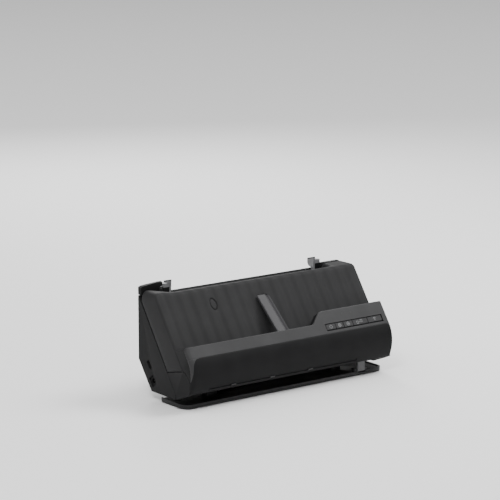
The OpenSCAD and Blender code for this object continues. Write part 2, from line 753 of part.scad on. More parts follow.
// Edge guides: fin, carriage, foot through the slot, and a rack that meets the pinion in the middle
rack_pitch = PI*rack_m;
rack_back = 1.8;
function rack_line(x0, x1) = [for (i = [ceil(x0/rack_pitch):floor(x1/rack_pitch) - 1], k = [0:3])
    [rack_pitch*(i + [0.29, 0.42, 0.58, 0.71][k]), (k == 0 || k == 3 ? 1.15 : -0.75)*rack_m]];
module rack(x0, x1, up) {
    back = 1.15*rack_m + rack_back;
    line = concat(rack_line(x0, x1), [[x1, 1.15*rack_m], [x1, back], [x0, back], [x0, 1.15*rack_m]]);
    plate(rack_n, rack_n + rack_t, [for (p = up ? line : reversed(line))
        [p[0], rack_s + (up ? 1 : -1)*(rack_r + p[1])]]);
}
fin_y = top_rear_y + seam + 0.1;
fin_rear = rear_y + 5;
over_n = -2.6;
fin_foot = [P(s_at_y(fin_y, fin_n), fin_n), P(tip_s + 2.2, fin_n), P(tip_s + 4.2, over_n),
    P(s_at_y(fin_rear, over_n), over_n)];
fin_top = edge_z + guide_h;
base_foot = [fin_foot[0], P(s_at_y(rear_y - tray_wall - clear, fin_n), fin_n)];
module edge_guide(up) {
    rack_end = rack_s + (up ? 1 : -1)*(rack_r + 1.15*rack_m);
    low = (up ? rack_end : rack_end - rack_back) + 0.2;
    front = slot_s + clear + 0.6;
    high = slot_s + slot_w - clear;
    union() {
        prism(fin_in, fin_in + fin_t, concat(fin_foot, rounded([[fin_rear, fin_top - 3.2],
            [fin_y - 0.8, fin_top],
            [fin_y, fin_top - 12]], [0, 0.6, 0])));
        prism(fin_in + fin_t - 0.1, carriage_x + 2.4, concat(fin_foot,
            [[fin_rear, fin_top - 5], [fin_y + 0.2, fin_top - 4]]));
        prism(fin_in + fin_t - 0.1, carriage_x + 2.6, concat(base_foot,
            [[base_foot[1][0], fin_top - 9], [fin_y + 0.1, fin_top - 9]]));
        prism(fin_in + 0.2, carriage_x - 0.2, [P(front, fin_n + 0.3), P(front, foot_n + foot_t),
            P(low, foot_n + foot_t),
            P(low, rack_n + 0.2), P(low + rack_back - 0.4, rack_n + 0.2), P(low + rack_back - 0.4, foot_n),
            P(high, foot_n), P(high, fin_n + 0.3)]);
        rack(-rack_reach, fin_in + 1, up);
    }
}
module edge_guide_left() {
    color([0.62, 0.62, 0.63]) mirror([1, 0, 0]) edge_guide(true);
}
module edge_guide_right() {
    color([0.62, 0.62, 0.63]) edge_guide(false);
}
module guide_pinion() {
    color([0.85, 0.85, 0.8])
    union() {
        plate(rack_n, rack_n + rack_t, wheel([0, rack_s], rack_z, rack_m, 90));
        path_peg(0, rack_s, rack_n - 0.6, -half_gap - 0.3, rack_pin_d);
    }
}

module path_flap() {
    color([0.16, 0.16, 0.17])
    union() {
        prism(-flap_hw, flap_hw, concat(
            [for (a = [34:7:62]) on_turn(outer_r, a)],
            [for (a = [62:-7:34]) on_turn(outer_r + turn_t, a)],
            [flap_at + [1.2, -1.6], flap_at + [0.4, 1.6]]));
        rod(-flap_hw, flap_hw, flap_at, flap_pin_d + 1);
        rod(-chassis_x - chassis_t, chassis_x + chassis_t, flap_at, flap_pin_d);
    }
}

module release_lever() {
    color([0.1, 0.1, 0.11])
    union() {
        intersection() {
            prism(latch_x[0], latch_x[1] + latch_lug, rounded([[ear_y0 + 0.3, latch_at[1] - 1.5],
                [rear_y, latch_at[1] - 1], [rear_y, latch_top - 2], [rear_y - 3, latch_top],
                [ear_y0 + 0.3, latch_top - 1]], [1, 1, 1.5, 1.5, 1]));
            front_cut([[latch_x[0], 0], [latch_x[1], 0], [latch_x[1], latch_at[1] + 5.5],
                [latch_x[1] + latch_lug - 0.2, latch_at[1] + 6.5],
                    [latch_x[1] + latch_lug - 0.2, latch_top + 0.3],
                [latch_x[0] + 3, latch_top - 2.6], [latch_x[0], latch_top - 4]]);
        }
        rod(latch_x[1] - 1, latch_x[1] + clear + latch_lug, latch_at, latch_pin_d);
    }
}

// Front unit

module cover_shell() {
    color([0.23, 0.23, 0.24])
    intersection() {
        difference() {
            prism(-hw, hw, cover_outline);
            prism(-cap_hw, cap_hw, cover_hollow);
            prism(throat_x[0], throat_x[1], throat);
            for (x = tyre_xs)
                path_box(x - tyre_w/2, x + tyre_w/2, exit_n, slab_t + 2, exit_s - exit_d/2 - 0.6,
                    exit_s + exit_d/2 + 0.6);
        }
        front_cut(cover_front_view);
    }
}

bearing_t = 3;
lug_xs = [-88, 85];
pinch_holes = [[upper_s, pinch_n], [lower_s, pinch_n]];
module cover_inner() {
    color([0.3, 0.3, 0.31])
    difference() {
        union() {
            path_box(-frame_x + clear, frame_x - clear, half_gap, half_gap + guide_t, turn_s, feed_s + 20);
            prism(-frame_x + clear, frame_x - clear, concat(
                [for (a = [0:12:180]) on_turn(turn_r, a)], [for (a = [180:-12:0]) on_turn(turn_r - guide_t,
                    a)]));
            for (x = lug_xs, p = pinch_holes)
                path_box(x, x + bearing_t, half_gap + 1, p[1] + 4, p[0] - 4, p[0] + 4);
            for (x = [-20 - bearing_t, 20])
                path_box(x, x + bearing_t, half_gap + 1, separation_d/2 + 5, feed_s - 5, feed_s + 5);
            for (x = lug_xs)
                path_box(x, x + bearing_t, half_gap + 1, skin_n - 0.2, exit_s - 4, exit_s + 4);
        }
        path_box(-glass_hw - 0.1, glass_hw + 0.1, -10, half_gap + guide_t + 0.1, sensor_s0 + 2,
            sensor_s1 - 2);
        path_box(-sensor_hw - 0.4, sensor_hw + 0.4, half_gap + guide_t, half_gap + guide_t + 11.6,
            sensor_s0 - 0.2,
            sensor_s1 + 0.2);
        for (s = [lower_s, upper_s], x = tyre_xs)
            path_box(x - tyre_w/2 - 1, x + tyre_w/2 + 1, -10, half_gap + guide_t + 2.5, s - pinch_d/2 - 0.4,
                s + pinch_d/2 + 0.4);
        gear_window(-10, half_gap + guide_t + 0.1);
        path_box(-16, 16, -10, half_gap + guide_t + 0.1, feed_s - separation_d/2 - 0.4,
            feed_s + separation_d/2 + 0.4);
        for (p = pinch_holes)
            rod(lug_xs[0] - 1, lug_xs[1] + 5, P(p[0], p[1]), pinch_shaft_d + 2*run_fit);
        rod(-25, 25, P(feed_s, separation_d/2 + 0.3), axle_d + 2*run_fit);
        rod(lug_xs[0] - 1, lug_xs[1] + 5, P(exit_s, exit_n), pinch_shaft_d + 2*run_fit);
    }
}

groove_x = [-123, 94];
groove_z = panel_foot[1] + 2.6;
groove_h = 2.8;
tab_xs = [-88, -32, 24];
tab_w = 7;
tab_h = 1.8;
lever_cut = [lever_x - notch_gap, lever_x + lever_w + notch_gap];
function cap_outline(top) = concat(front_line, [cap_front[0]],
    reversed(rounded([P(seam_at(slab_t + 0.4) + seam, slab_t + 0.4), cap_top, cap_front[1]], [0, 7.4, 0])),
    [P(top + 6, slab_t + 0.4), P(top, under_n), P(strip_s, under_n)]);
module front_panel() {
    color([0.16, 0.16, 0.17])
    difference() {
        union() {
            prism(-cap_hw, cap_hw, front_wall);
            prism(-cap_hw, cap_hw, floor_wall);
            prism(cap_hw, hw, cap_outline(panel_top));
            prism(-hw, -cap_hw, cap_outline(strip_top));
        }
        translate([lever_cut[0], lever_at[0] - 10, 0]) cube([lever_cut[1] - lever_cut[0], 20, 26]);
        difference() {
            prism(groove_x[0], groove_x[1], [[front_y, groove_z], panel_foot + [-0.4, 2.6],
                panel_foot + [-1.3, 2.6 + groove_h], [front_y, groove_z + groove_h]]);
            for (x = tab_xs)
                translate([x - tab_w/2, panel_foot[0] - 1.6, groove_z]) cube([tab_w, 5, tab_h]);
        }
    }
}

step_run = [step_l, panel_top - strip_top];
step_in = [step_run[1], -step_run[0]]/norm(step_run);
function step_at(t, d) = [step_x, strip_top] + t*step_run + d*step_in;

// Wall behind the board, with a hole for the screwdriver at each screw
back_t = 1.4;
back_n = board_top_n - board_t - 2;
back_s = exit_s + 9;
driver_d = 6;
module control_panel() {
    color([0.31, 0.31, 0.32])
    difference() {
        union() {
            plate(under_n, panel_n, rounded([[-hw, strip_s], [hw, strip_s], [hw, panel_top],
                [step_x + step_l, panel_top], [step_x, strip_top], [-hw, strip_top]], [5, 3, 3, 2, 2, 5]));
            path_box(-frame_x + 1, step_x, under_n - 2.5, under_n + 0.2, strip_top - 2.4, strip_top - 0.2);
            path_box(step_x + step_l + 2, frame_x - 1, back_n - back_t, under_n + 0.2, panel_top - 2.4,
                panel_top - 0.2);
            path_box(step_x + step_l + 2, frame_x - 1, back_n - back_t, back_n, back_s, panel_top - 0.2);
            path_box(arm_x - arm_w/2 - clear - lug_t, arm_x + arm_w/2 + clear + lug_t, arm_n - 3,
                under_n + 0.2,
                arm_s - 3.5, arm_s + 2);
            plate(under_n - skirt_h, under_n + 0.2,
                [step_at(0.05, 0.4), step_at(0.05, 2.6), step_at(0.95, 2.6), step_at(0.95, 0.4)]);
            for (p = board_posts)
                path_peg(p[0], p[1], board_top_n, under_n, post_d);
        }
        path_box(arm_x - arm_w/2 - clear, arm_x + arm_w/2 + clear, arm_n - 10, under_n, arm_s - 8,
            strip_top + 1);
        rod(arm_x - arm_w, arm_x + arm_w, P(arm_s, arm_n), arm_pin_d + 2*run_fit);
        for (i = [0:4])
            path_box(button_left(i) - 0.25, button_left(i) + button_ws[i] + 0.25, under_n - 1, panel_n + 1,
                button_s - 0.25, button_s + button_h + 0.25);
        for (p = lights)
            path_peg(p[0], p[1], under_n - 1, panel_n + 1, light_d);
        for (p = board_posts) {
            path_peg(p[0], p[1], board_top_n - 1, under_n + 0.5, screw_d);
            path_peg(p[0], p[1], back_n - back_t - 1, back_n + 1, driver_d);
        }
    }
}

frame_n = board_top_n - board_t - 1.5;
frame_outline = rounded([P(-6, 18), P(-6, 27), P(8, frame_n), P(strip_top - 2, frame_n),
    P(strip_top - 2, slab_t + 1.5),
    P(turn_s - 1.5, slab_t + 1.5), P(turn_s - 1.5, skin_n - 0.2), P(upper_s + 12, skin_n - 0.2),
        P(upper_s + 12, 8),
    P(turn_s + 4, 8), P(1, 14)], [4, 4, 3, 3, 0, 0, 0, 3, 3, 3, 3]);
module hinge_frame() {
    difference() {
        prism(frame_x, cap_hw, reversed(frame_outline));
        rod(frame_x - 1, cap_hw + 1, [hinge_y, hinge_z], hinge_d + 2*run_fit);
        rod(frame_x - 1, cap_hw + 1, P(exit_s, exit_pinch_n), axle_d + 2*run_fit);
    }
}
module hinge_frame_left() {
    color([0.55, 0.55, 0.57]) mirror([1, 0, 0]) hinge_frame();
}
module hinge_frame_right() {
    color([0.55, 0.55, 0.57]) hinge_frame();
}

guide_run = [[exit_s - 3, slab_t + 2.2], [exit_s + 3, slab_t + 2.2], [exit_s + 6, slab_t + 6]];
guide_arc = concat([for (a = [75:7:180]) on_turn(outer_r, a)], [for (p = guide_run) P(p[0], p[1])]);
module turn_guide() {
    color([0.3, 0.3, 0.31])
    difference() {
        prism(-frame_x, frame_x, concat(reversed(guide_arc), moved_line(guide_arc, -turn_t)));
        for (x = tyre_xs)
            path_box(x - tyre_w/2 - 1, x + tyre_w/2 + 1, slab_t, slab_t + 12, exit_s - pinch_d/2 - 0.6,
                exit_s + pinch_d/2 + 0.6);
        translate([lever_cut[0], front_y, 0]) cube([lever_cut[1] - lever_cut[0], 40, 30]);
    }
}

module front_sensor() {
    color([0.1, 0.1, 0.1])
    path_box(-sensor_hw, sensor_hw, half_gap + guide_t + 0.2, half_gap + guide_t + 11.2, sensor_s0,
        sensor_s1);
}
module front_glass() {
    color([0.7, 0.8, 0.85])
    path_box(-glass_hw, glass_hw, half_gap + 0.1, half_gap + guide_t + 0.2, sensor_s0 + 2.1,
        sensor_s1 - 2.1);
}

module button_board() {
    color([0.05, 0.3, 0.15])
    difference() {
        union() {
            path_box(button_x - 3, buttons_end + 2, board_top_n - board_t, board_top_n, button_s - 1,
                strip_s + 24);
            for (i = [0:4])
                path_box(button_left(i) + button_ws[i]/2 - 3, button_left(i) + button_ws[i]/2 + 3,
                    board_top_n - 0.2,
                    switch_top_n, button_s + button_h/2 - 3, button_s + button_h/2 + 3);
        }
        for (p = board_posts)
            path_peg(p[0], p[1], board_top_n - 5, board_top_n + 1, screw_d);
    }
}
module light_pipes() {
    color([0.9, 0.95, 0.9])
    for (p = lights)
        path_peg(p[0], p[1], board_top_n, panel_n, light_d);
}
module front_screws() {
    color("silver")
    for (p = board_posts) {
        path_peg(p[0], p[1], board_top_n - board_t - 1.8, board_top_n - board_t, 5);
        path_peg(p[0], p[1], board_top_n - board_t - 0.1, board_top_n + 4, screw_d);
    }
}

module separation_roller() {
    color([0.25, 0.3, 0.35])
    union() {
        rod(-15, 15, P(feed_s, separation_d/2 + 0.3), separation_d);
        rod(-20 - bearing_t, 20 + bearing_t, P(feed_s, separation_d/2 + 0.3), axle_d);
    }
}
module pinch_row(at, d, core, x0, x1) {
    union() {
        rod(x0, x1, at, core);
        for (x = tyre_xs)
            rod(x - tyre_w/2 + 1, x + tyre_w/2 - 1, at, d);
    }
}
module upper_pinch() {
    color([0.8, 0.8, 0.78])
    pinch_row(P(upper_s, pinch_n), pinch_d, pinch_shaft_d, lug_xs[0], lug_xs[1] + bearing_t);
}
module lower_pinch() {
    color([0.8, 0.8, 0.78])
    pinch_row(P(lower_s, pinch_n), pinch_d, pinch_shaft_d, lug_xs[0], lug_xs[1] + bearing_t);
}
module exit_roller() {
    color([0.15, 0.15, 0.15])
    pinch_row(P(exit_s, exit_n), exit_d, pinch_shaft_d, lug_xs[0], lug_xs[1] + bearing_t);
}
module exit_pinch() {
    color([0.8, 0.8, 0.78])
    pinch_row(P(exit_s, exit_pinch_n), pinch_d, axle_d, -cap_hw, cap_hw);
}

module button(i) {
    color([0.27, 0.27, 0.28])
    path_box(button_left(i), button_left(i) + button_ws[i], button_top_n - button_cap, button_top_n,
        button_s,
        button_s + button_h);
}
module button_1() {
    button(0);
}
module button_2() {
    button(1);
}
module button_3() {
    button(2);
}
module button_4() {
    button(3);
}
module button_5() {
    button(4);
}

arm_tip = [arm_s + arm_l, slab_t + 0.5];
module output_arm() {
    color([0.4, 0.4, 0.42])
    union() {
        prism(arm_x - arm_w/2, arm_x + arm_w/2, reversed(rounded([P(arm_s, arm_n - 2.2),
            P(arm_tip[0], arm_tip[1]),
            P(arm_tip[0] + 1.6, arm_tip[1] + 2.6), P(arm_s + 1, arm_n + 0.9)], [0, 0.8, 0.8, 0])));
        rod(arm_x - arm_w/2, arm_x + arm_w/2, P(arm_s, arm_n), 4.4);
        rod(arm_x - arm_w/2 - clear - lug_t, arm_x + arm_w/2 + clear + lug_t, P(arm_s, arm_n), arm_pin_d);
    }
}

base_plate();
base_feet();
tilt_pins();
tilt_lever();
rear_housing();
rear_guide();
input_tray();
chassis_left();
chassis_right();
side_cover_left();
side_cover_right();
rear_sensor();
rear_glass();
main_board();
data_socket();
power_inlet();
motor();
shaft_bushes();
hinge_pins();
rear_screws();
motor_pinion();
lower_idler();
upper_idler();
lower_shaft();
lower_tyres();
lower_gear();
upper_shaft();
upper_tyres();
upper_gear();
feed_shaft();
feed_tyres();
feed_gear();
edge_guide_left();
edge_guide_right();
guide_pinion();
path_flap();
release_lever();
cover_shell();
cover_inner();
front_panel();
control_panel();
hinge_frame_left();
hinge_frame_right();
turn_guide();
front_sensor();
front_glass();
button_board();
light_pipes();
front_screws();
separation_roller();
upper_pinch();
lower_pinch();
exit_roller();
exit_pinch();
button_1();
button_2();
button_3();
button_4();
button_5();
output_arm();
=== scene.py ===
import json
import math
import bpy
import bmesh
import numpy as np
from mathutils import Matrix, Vector


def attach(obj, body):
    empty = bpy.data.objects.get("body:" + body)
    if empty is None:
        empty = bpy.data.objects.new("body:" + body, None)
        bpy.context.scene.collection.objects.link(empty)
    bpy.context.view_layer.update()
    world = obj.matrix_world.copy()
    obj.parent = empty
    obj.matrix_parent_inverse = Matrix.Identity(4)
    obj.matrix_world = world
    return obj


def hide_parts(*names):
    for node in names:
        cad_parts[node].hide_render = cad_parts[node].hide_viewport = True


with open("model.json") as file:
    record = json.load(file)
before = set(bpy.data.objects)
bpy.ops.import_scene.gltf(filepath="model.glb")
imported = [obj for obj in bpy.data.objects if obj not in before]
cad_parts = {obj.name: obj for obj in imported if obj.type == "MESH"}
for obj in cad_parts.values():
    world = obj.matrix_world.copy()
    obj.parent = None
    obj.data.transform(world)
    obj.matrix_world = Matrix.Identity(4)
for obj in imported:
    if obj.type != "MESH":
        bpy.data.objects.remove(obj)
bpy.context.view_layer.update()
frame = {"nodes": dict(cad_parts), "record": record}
print("frame loaded:", len(frame["nodes"]), "nodes")

mm = 0.001
weld = 2e-6  # m, points nearer than this are one
sliver = 1e-6  # m, edges shorter than this are taken out
creases = {"flat": 0.6, "sharp": 30.0, "bevelFrom": 32.0}  # degrees between two faces

# the paper path: s runs up the slope, n stands off it to the front, both in mm
path = {"lean": math.radians(35.0), "footY": -23.0, "footZ": 14.0}


def pathPoint(s, n):
    # y = foot + s sin(lean) - n cos(lean), z = foot + s cos(lean) + n sin(lean)
    sn, cs = math.sin(path["lean"]), math.cos(path["lean"])
    s, n = np.asarray(s, float), np.asarray(n, float)
    return path["footY"] + s*sn - n*cs, path["footZ"] + s*cs + n*sn


def pathPlace(points):
    # (s, n) of points in mm, the way back from pathPoint
    sn, cs = math.sin(path["lean"]), math.cos(path["lean"])
    dy, dz = points[:, 1] - path["footY"], points[:, 2] - path["footZ"]
    return dy*sn + dz*cs, dz*sn - dy*cs


def smooth(a, b, v):
    # 0 below a, 1 above b, 3t^2 - 2t^3 between
    t = np.clip((np.asarray(v, float) - a)/(b - a), 0, 1)
    return t*t*(3 - 2*t)


def spread(*stops):
    # stations from a row of (start, end, count)
    return np.unique(np.round(np.concatenate([np.linspace(a, b, k) for a, b, k in stops]), 5))


def gridQuads(rows, cols, keep=None, wrap=False):
    # a quad between each four neighbours of a rows by cols grid
    r = np.arange(rows - 1)[:, None]
    c = np.arange(cols if wrap else cols - 1)[None, :]
    nxt = (c + 1) % cols
    q = np.stack([r*cols + c, r*cols + nxt, (r + 1)*cols + nxt, (r + 1)*cols + c], axis=-1)
    return q[keep] if keep is not None else q.reshape(-1, 4)


def polygonRows(mesh, what):
    # one row of three numbers for each polygon, such as its center or its normal
    rows = np.empty(len(mesh.polygons)*3)
    mesh.polygons.foreach_get(what, rows)
    return rows.reshape(-1, 3)


def makePiece(name, parts, body, material, facing=None, thickness=0.0, angle=35.0):
    # parts are (points in mm, faces); they are joined, welded and turned to face outwards
    verts, faces, base = [], [], 0
    for pts, fcs in parts:
        pts = np.asarray(pts, float).reshape(-1, 3)
        verts.append(pts)
        faces += [[int(i) + base for i in f] for f in fcs]
        base += len(pts)
    mesh = bpy.data.meshes.new(name)
    mesh.from_pydata((np.concatenate(verts)*mm).tolist(), [], faces)
    bm = bmesh.new()
    bm.from_mesh(mesh)
    bmesh.ops.remove_doubles(bm, verts=bm.verts, dist=weld)
    bmesh.ops.dissolve_degenerate(bm, edges=bm.edges, dist=sliver)
    bmesh.ops.recalc_face_normals(bm, faces=bm.faces)
    if facing is not None:
        mean = sum(f.normal.dot(Vector(facing))*f.calc_area() for f in bm.faces)
        if mean < 0:
            bmesh.ops.reverse_faces(bm, faces=bm.faces)
    bm.to_mesh(mesh)
    bm.free()
    for p in mesh.polygons:
        p.use_smooth = True
    mesh.set_sharp_from_angle(angle=math.radians(angle))
    obj = bpy.data.objects.new(name, mesh)
    bpy.context.scene.collection.objects.link(obj)
    mesh.materials.append(material)
    if thickness:
        m = obj.modifiers.new("wall", "SOLIDIFY")
        m.thickness, m.offset, m.use_even_offset = thickness*mm, -1, True
    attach(obj, body)
    return obj


def addBevel(obj, width, segments=3):
    # rounds each edge that turns by more than bevelFrom, width in mm
    m = obj.modifiers.new("edges", "BEVEL")
    m.width, m.segments = width*mm, segments
    m.limit_method, m.angle_limit = "ANGLE", math.radians(creases["bevelFrom"])
    m.harden_normals, m.use_clamp_overlap, m.miter_outer = True, True, "MITER_ARC"


bodyOf = {n: b for b, ns in frame["record"]["behaviour"]["bodies"].items() for n in ns}
slotOf = {s["node"]: s["material_slot"] for s in frame["record"]["subparts"]}


def softEdged(node, material, width, segments=3):
    # a welded copy of a CAD node whose edges are broken by a small radius
    mesh = frame["nodes"][node].data.copy()
    mesh.name = node + "Soft"
    bm = bmesh.new()
    bm.from_mesh(mesh)
    bmesh.ops.remove_doubles(bm, verts=bm.verts, dist=weld)
    flat = math.radians(creases["flat"])
    bmesh.ops.dissolve_limit(bm, angle_limit=flat, verts=bm.verts, edges=bm.edges)
    bm.to_mesh(mesh)
    bm.free()
    for p in mesh.polygons:
        p.use_smooth = True
    mesh.set_sharp_from_angle(angle=math.radians(creases["sharp"]))
    mesh.materials.clear()
    mesh.materials.append(material)
    obj = bpy.data.objects.new(node + "Soft", mesh)
    bpy.context.scene.collection.objects.link(obj)
    if width:
        addBevel(obj, width, segments)
    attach(obj, bodyOf[node])
    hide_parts(node)
    return obj


# finishes

def newMaterial(name):
    # a new material, with its nodes, its links and its shader at hand
    mat = bpy.data.materials.new(name)
    mat.use_nodes = True
    nodes = mat.node_tree.nodes
    return mat, nodes, mat.node_tree.links, nodes["Principled BSDF"]


def mouldedPlastic(name, colour, rough=0.5, grain=1400.0, depth=0.00006, mottle=0.12, wearAndSheen=0.25,
                   specular=0.5):
    # fine spark-eroded grain in the bump, slow mottling in colour and gloss, and paler edges, which are
    # wear on most finishes and a painted highlight on the stand's rim edges
    mat, nodes, links, shader = newMaterial(name)
    coord = nodes.new("ShaderNodeTexCoord")
    fine = nodes.new("ShaderNodeTexNoise")
    fine.inputs["Scale"].default_value = grain
    fine.inputs["Detail"].default_value = 3.0
    slow = nodes.new("ShaderNodeTexNoise")
    slow.inputs["Scale"].default_value = 38.0
    slow.inputs["Detail"].default_value = 4.0
    bump = nodes.new("ShaderNodeBump")
    bump.inputs["Strength"].default_value = 0.55
    bump.inputs["Distance"].default_value = depth
    tone = nodes.new("ShaderNodeValToRGB")
    dark = [c*(1 - mottle) for c in colour]
    pale = [min(1, c*(1 + mottle)) for c in colour]
    tone.color_ramp.elements[0].position, tone.color_ramp.elements[0].color = 0.3, (*dark, 1)
    tone.color_ramp.elements[1].position, tone.color_ramp.elements[1].color = 0.7, (*pale, 1)
    gloss = nodes.new("ShaderNodeMapRange")
    gloss.inputs["To Min"].default_value = rough - 0.06
    gloss.inputs["To Max"].default_value = rough + 0.06
    edge = nodes.new("ShaderNodeNewGeometry")
    wornAndSheen = nodes.new("ShaderNodeMapRange")
    wornAndSheen.inputs["From Min"].default_value, wornAndSheen.inputs["From Max"].default_value = 0.53, 0.62
    wornAndSheen.inputs["To Max"].default_value = wearAndSheen
    mix = nodes.new("ShaderNodeMix")
    mix.data_type = "RGBA"
    mix.inputs["B"].default_value = (*[min(1, c*1.8 + 0.02) for c in colour], 1)
    for tex in (fine, slow):
        links.new(coord.outputs["Object"], tex.inputs["Vector"])
    links.new(fine.outputs["Fac"], bump.inputs["Height"])
    links.new(slow.outputs["Fac"], tone.inputs["Fac"])
    links.new(slow.outputs["Fac"], gloss.inputs["Value"])
    links.new(edge.outputs["Pointiness"], wornAndSheen.inputs["Value"])
    links.new(wornAndSheen.outputs["Result"], mix.inputs["Factor"])
    links.new(tone.outputs["Color"], mix.inputs["A"])
    links.new(mix.outputs["Result"], shader.inputs["Base Color"])
    links.new(gloss.outputs["Result"], shader.inputs["Roughness"])
    links.new(bump.outputs["Normal"], shader.inputs["Normal"])
    shader.inputs["Specular IOR Level"].default_value = specular
    return mat


def turnedMetal(name, colour, rough=0.28, stretch=(1, 60, 60), metallic=1.0):
    # fine turning or rolling lines from a noise that is stretched along X
    mat, nodes, links, shader = newMaterial(name)
    coord = nodes.new("ShaderNodeTexCoord")
    turn = nodes.new("ShaderNodeMapping")
    turn.inputs["Scale"].default_value = stretch
    lines = nodes.new("ShaderNodeTexNoise")
    lines.inputs["Scale"].default_value = 60.0
    lines.inputs["Detail"].default_value = 5.0
    gloss = nodes.new("ShaderNodeMapRange")
    gloss.inputs["To Min"].default_value, gloss.inputs["To Max"].default_value = rough - 0.1, rough + 0.14
    tone = nodes.new("ShaderNodeValToRGB")
    tone.color_ramp.elements[0].color = (*[c*0.82 for c in colour], 1)
    tone.color_ramp.elements[1].color = (*colour, 1)
    bump = nodes.new("ShaderNodeBump")
    bump.inputs["Strength"].default_value = 0.3
    bump.inputs["Distance"].default_value = 0.00003
    links.new(coord.outputs["Object"], turn.inputs["Vector"])
    links.new(turn.outputs["Vector"], lines.inputs["Vector"])
    for target in (gloss.inputs["Value"], tone.inputs["Fac"], bump.inputs["Height"]):
        links.new(lines.outputs["Fac"], target)
    links.new(gloss.outputs["Result"], shader.inputs["Roughness"])
    links.new(tone.outputs["Color"], shader.inputs["Base Color"])
    links.new(bump.outputs["Normal"], shader.inputs["Normal"])
    shader.inputs["Metallic"].default_value = metallic
    return mat


def clearGlass(name, colour):
    # clear, with a thin film of dust in the gloss
    mat, nodes, links, shader = newMaterial(name)
    coord = nodes.new("ShaderNodeTexCoord")
    dust = nodes.new("ShaderNodeTexNoise")
    dust.inputs["Scale"].default_value = 160.0
    gloss = nodes.new("ShaderNodeMapRange")
    gloss.inputs["To Min"].default_value, gloss.inputs["To Max"].default_value = 0.02, 0.12
    links.new(coord.outputs["Object"], dust.inputs["Vector"])
    links.new(dust.outputs["Fac"], gloss.inputs["Value"])
    links.new(gloss.outputs["Result"], shader.inputs["Roughness"])
    shader.inputs["Base Color"].default_value = (*colour, 1)
    shader.inputs["Transmission Weight"].default_value = 0.85
    shader.inputs["IOR"].default_value = 1.5
    return mat


finish = {
    "cover": mouldedPlastic("coverGrain", (0.0225, 0.0225, 0.0231), 0.62, 1500, 0.00007, specular=0.1),
    "housing": mouldedPlastic("housingGrain", (0.0130, 0.0130, 0.0135), 0.64, 1500, 0.00007, specular=0.1),
    "panel": mouldedPlastic("panelSatin", (0.0105, 0.0105, 0.0109), 0.52, 2200, 0.00004, specular=0.07),
    "strip": mouldedPlastic("stripSatin", (0.0350, 0.0350, 0.0359), 0.46, 2400, 0.00003, specular=0.14),
    "button": mouldedPlastic("keySatin", (0.0270, 0.0270, 0.0278), 0.46, 2400, 0.00003, wearAndSheen=0.35,
                             specular=0.14),
    "arm": mouldedPlastic("armSatin", (0.0278, 0.0272, 0.0296), 0.46, 2400, 0.00003, specular=0.2),
    "guide_grey": mouldedPlastic("guideGrey", (0.15, 0.15, 0.155), 0.45, 2000, 0.00004),
    "black": mouldedPlastic("blackMatte", (0.0040, 0.0040, 0.0043), 0.65, 1600, 0.00006, specular=0.18),
    "path": mouldedPlastic("pathSmooth", (0.020, 0.020, 0.021), 0.36, 900, 0.00002),
    # the stand's strong edge paling is a painted highlight along the top edge of its rim
    "stand": mouldedPlastic("standSatin", (0.0130, 0.0130, 0.0134), 0.36, 2000, 0.00003, wearAndSheen=0.7,
                            specular=0.18),
    "frame_grey": mouldedPlastic("frameGrey", (0.14, 0.14, 0.145), 0.5, 1400, 0.00005),
    "gear": mouldedPlastic("naturalAcetal", (0.66, 0.66, 0.60), 0.35, 800, 0.00002, 0.05),
    "pinch": mouldedPlastic("rollerAcetal", (0.58, 0.58, 0.55), 0.35, 800, 0.00002, 0.05),
    "tyre_rubber": mouldedPlastic("groundRubber", (0.016, 0.017, 0.018), 0.75, 3000, 0.00008, 0.2, wearAndSheen=0.1,
                                  specular=0.3),
    "foot_rubber": mouldedPlastic("footRubber", (0.008, 0.008, 0.008), 0.8, 2500, 0.00008, 0.2, wearAndSheen=0.1,
                                  specular=0.3),
    "steel": turnedMetal("rolledSteel", (0.55, 0.56, 0.57)),
    "bush": turnedMetal("sinteredBronze", (0.42, 0.28, 0.12), 0.45),
    "motor_can": turnedMetal("platedCan", (0.48, 0.48, 0.50), 0.35),
    "sensor": mouldedPlastic("sensorBlack", (0.008, 0.008, 0.009), 0.5, 1500, 0.00004),
    "glass": clearGlass("sensorGlass", (0.80, 0.88, 0.90)),
    "board": mouldedPlastic("solderMask", (0.005, 0.009, 0.007), 0.3, 900, 0.00003, 0.25),
    "light": mouldedPlastic("lightPipe", (0.055, 0.058, 0.055), 0.25, 900, 0.00001, 0.05),
}
leverMaterial = mouldedPlastic("leverGrey", (0.105, 0.105, 0.108), 0.45, 2000, 0.00004, specular=0.2)
inkMaterial = mouldedPlastic("paleInk", (0.15, 0.15, 0.155), 0.5, 3000, 0.00001, 0.05, 0.0)
for node, obj in frame["nodes"].items():
    obj.data.materials.clear()
    obj.data.materials.append(finish[slotOf[node]])
print("finishes made:", len(finish))

# ribbed cover: rear face, rear round, top, crown round and ribbed face, carried along X

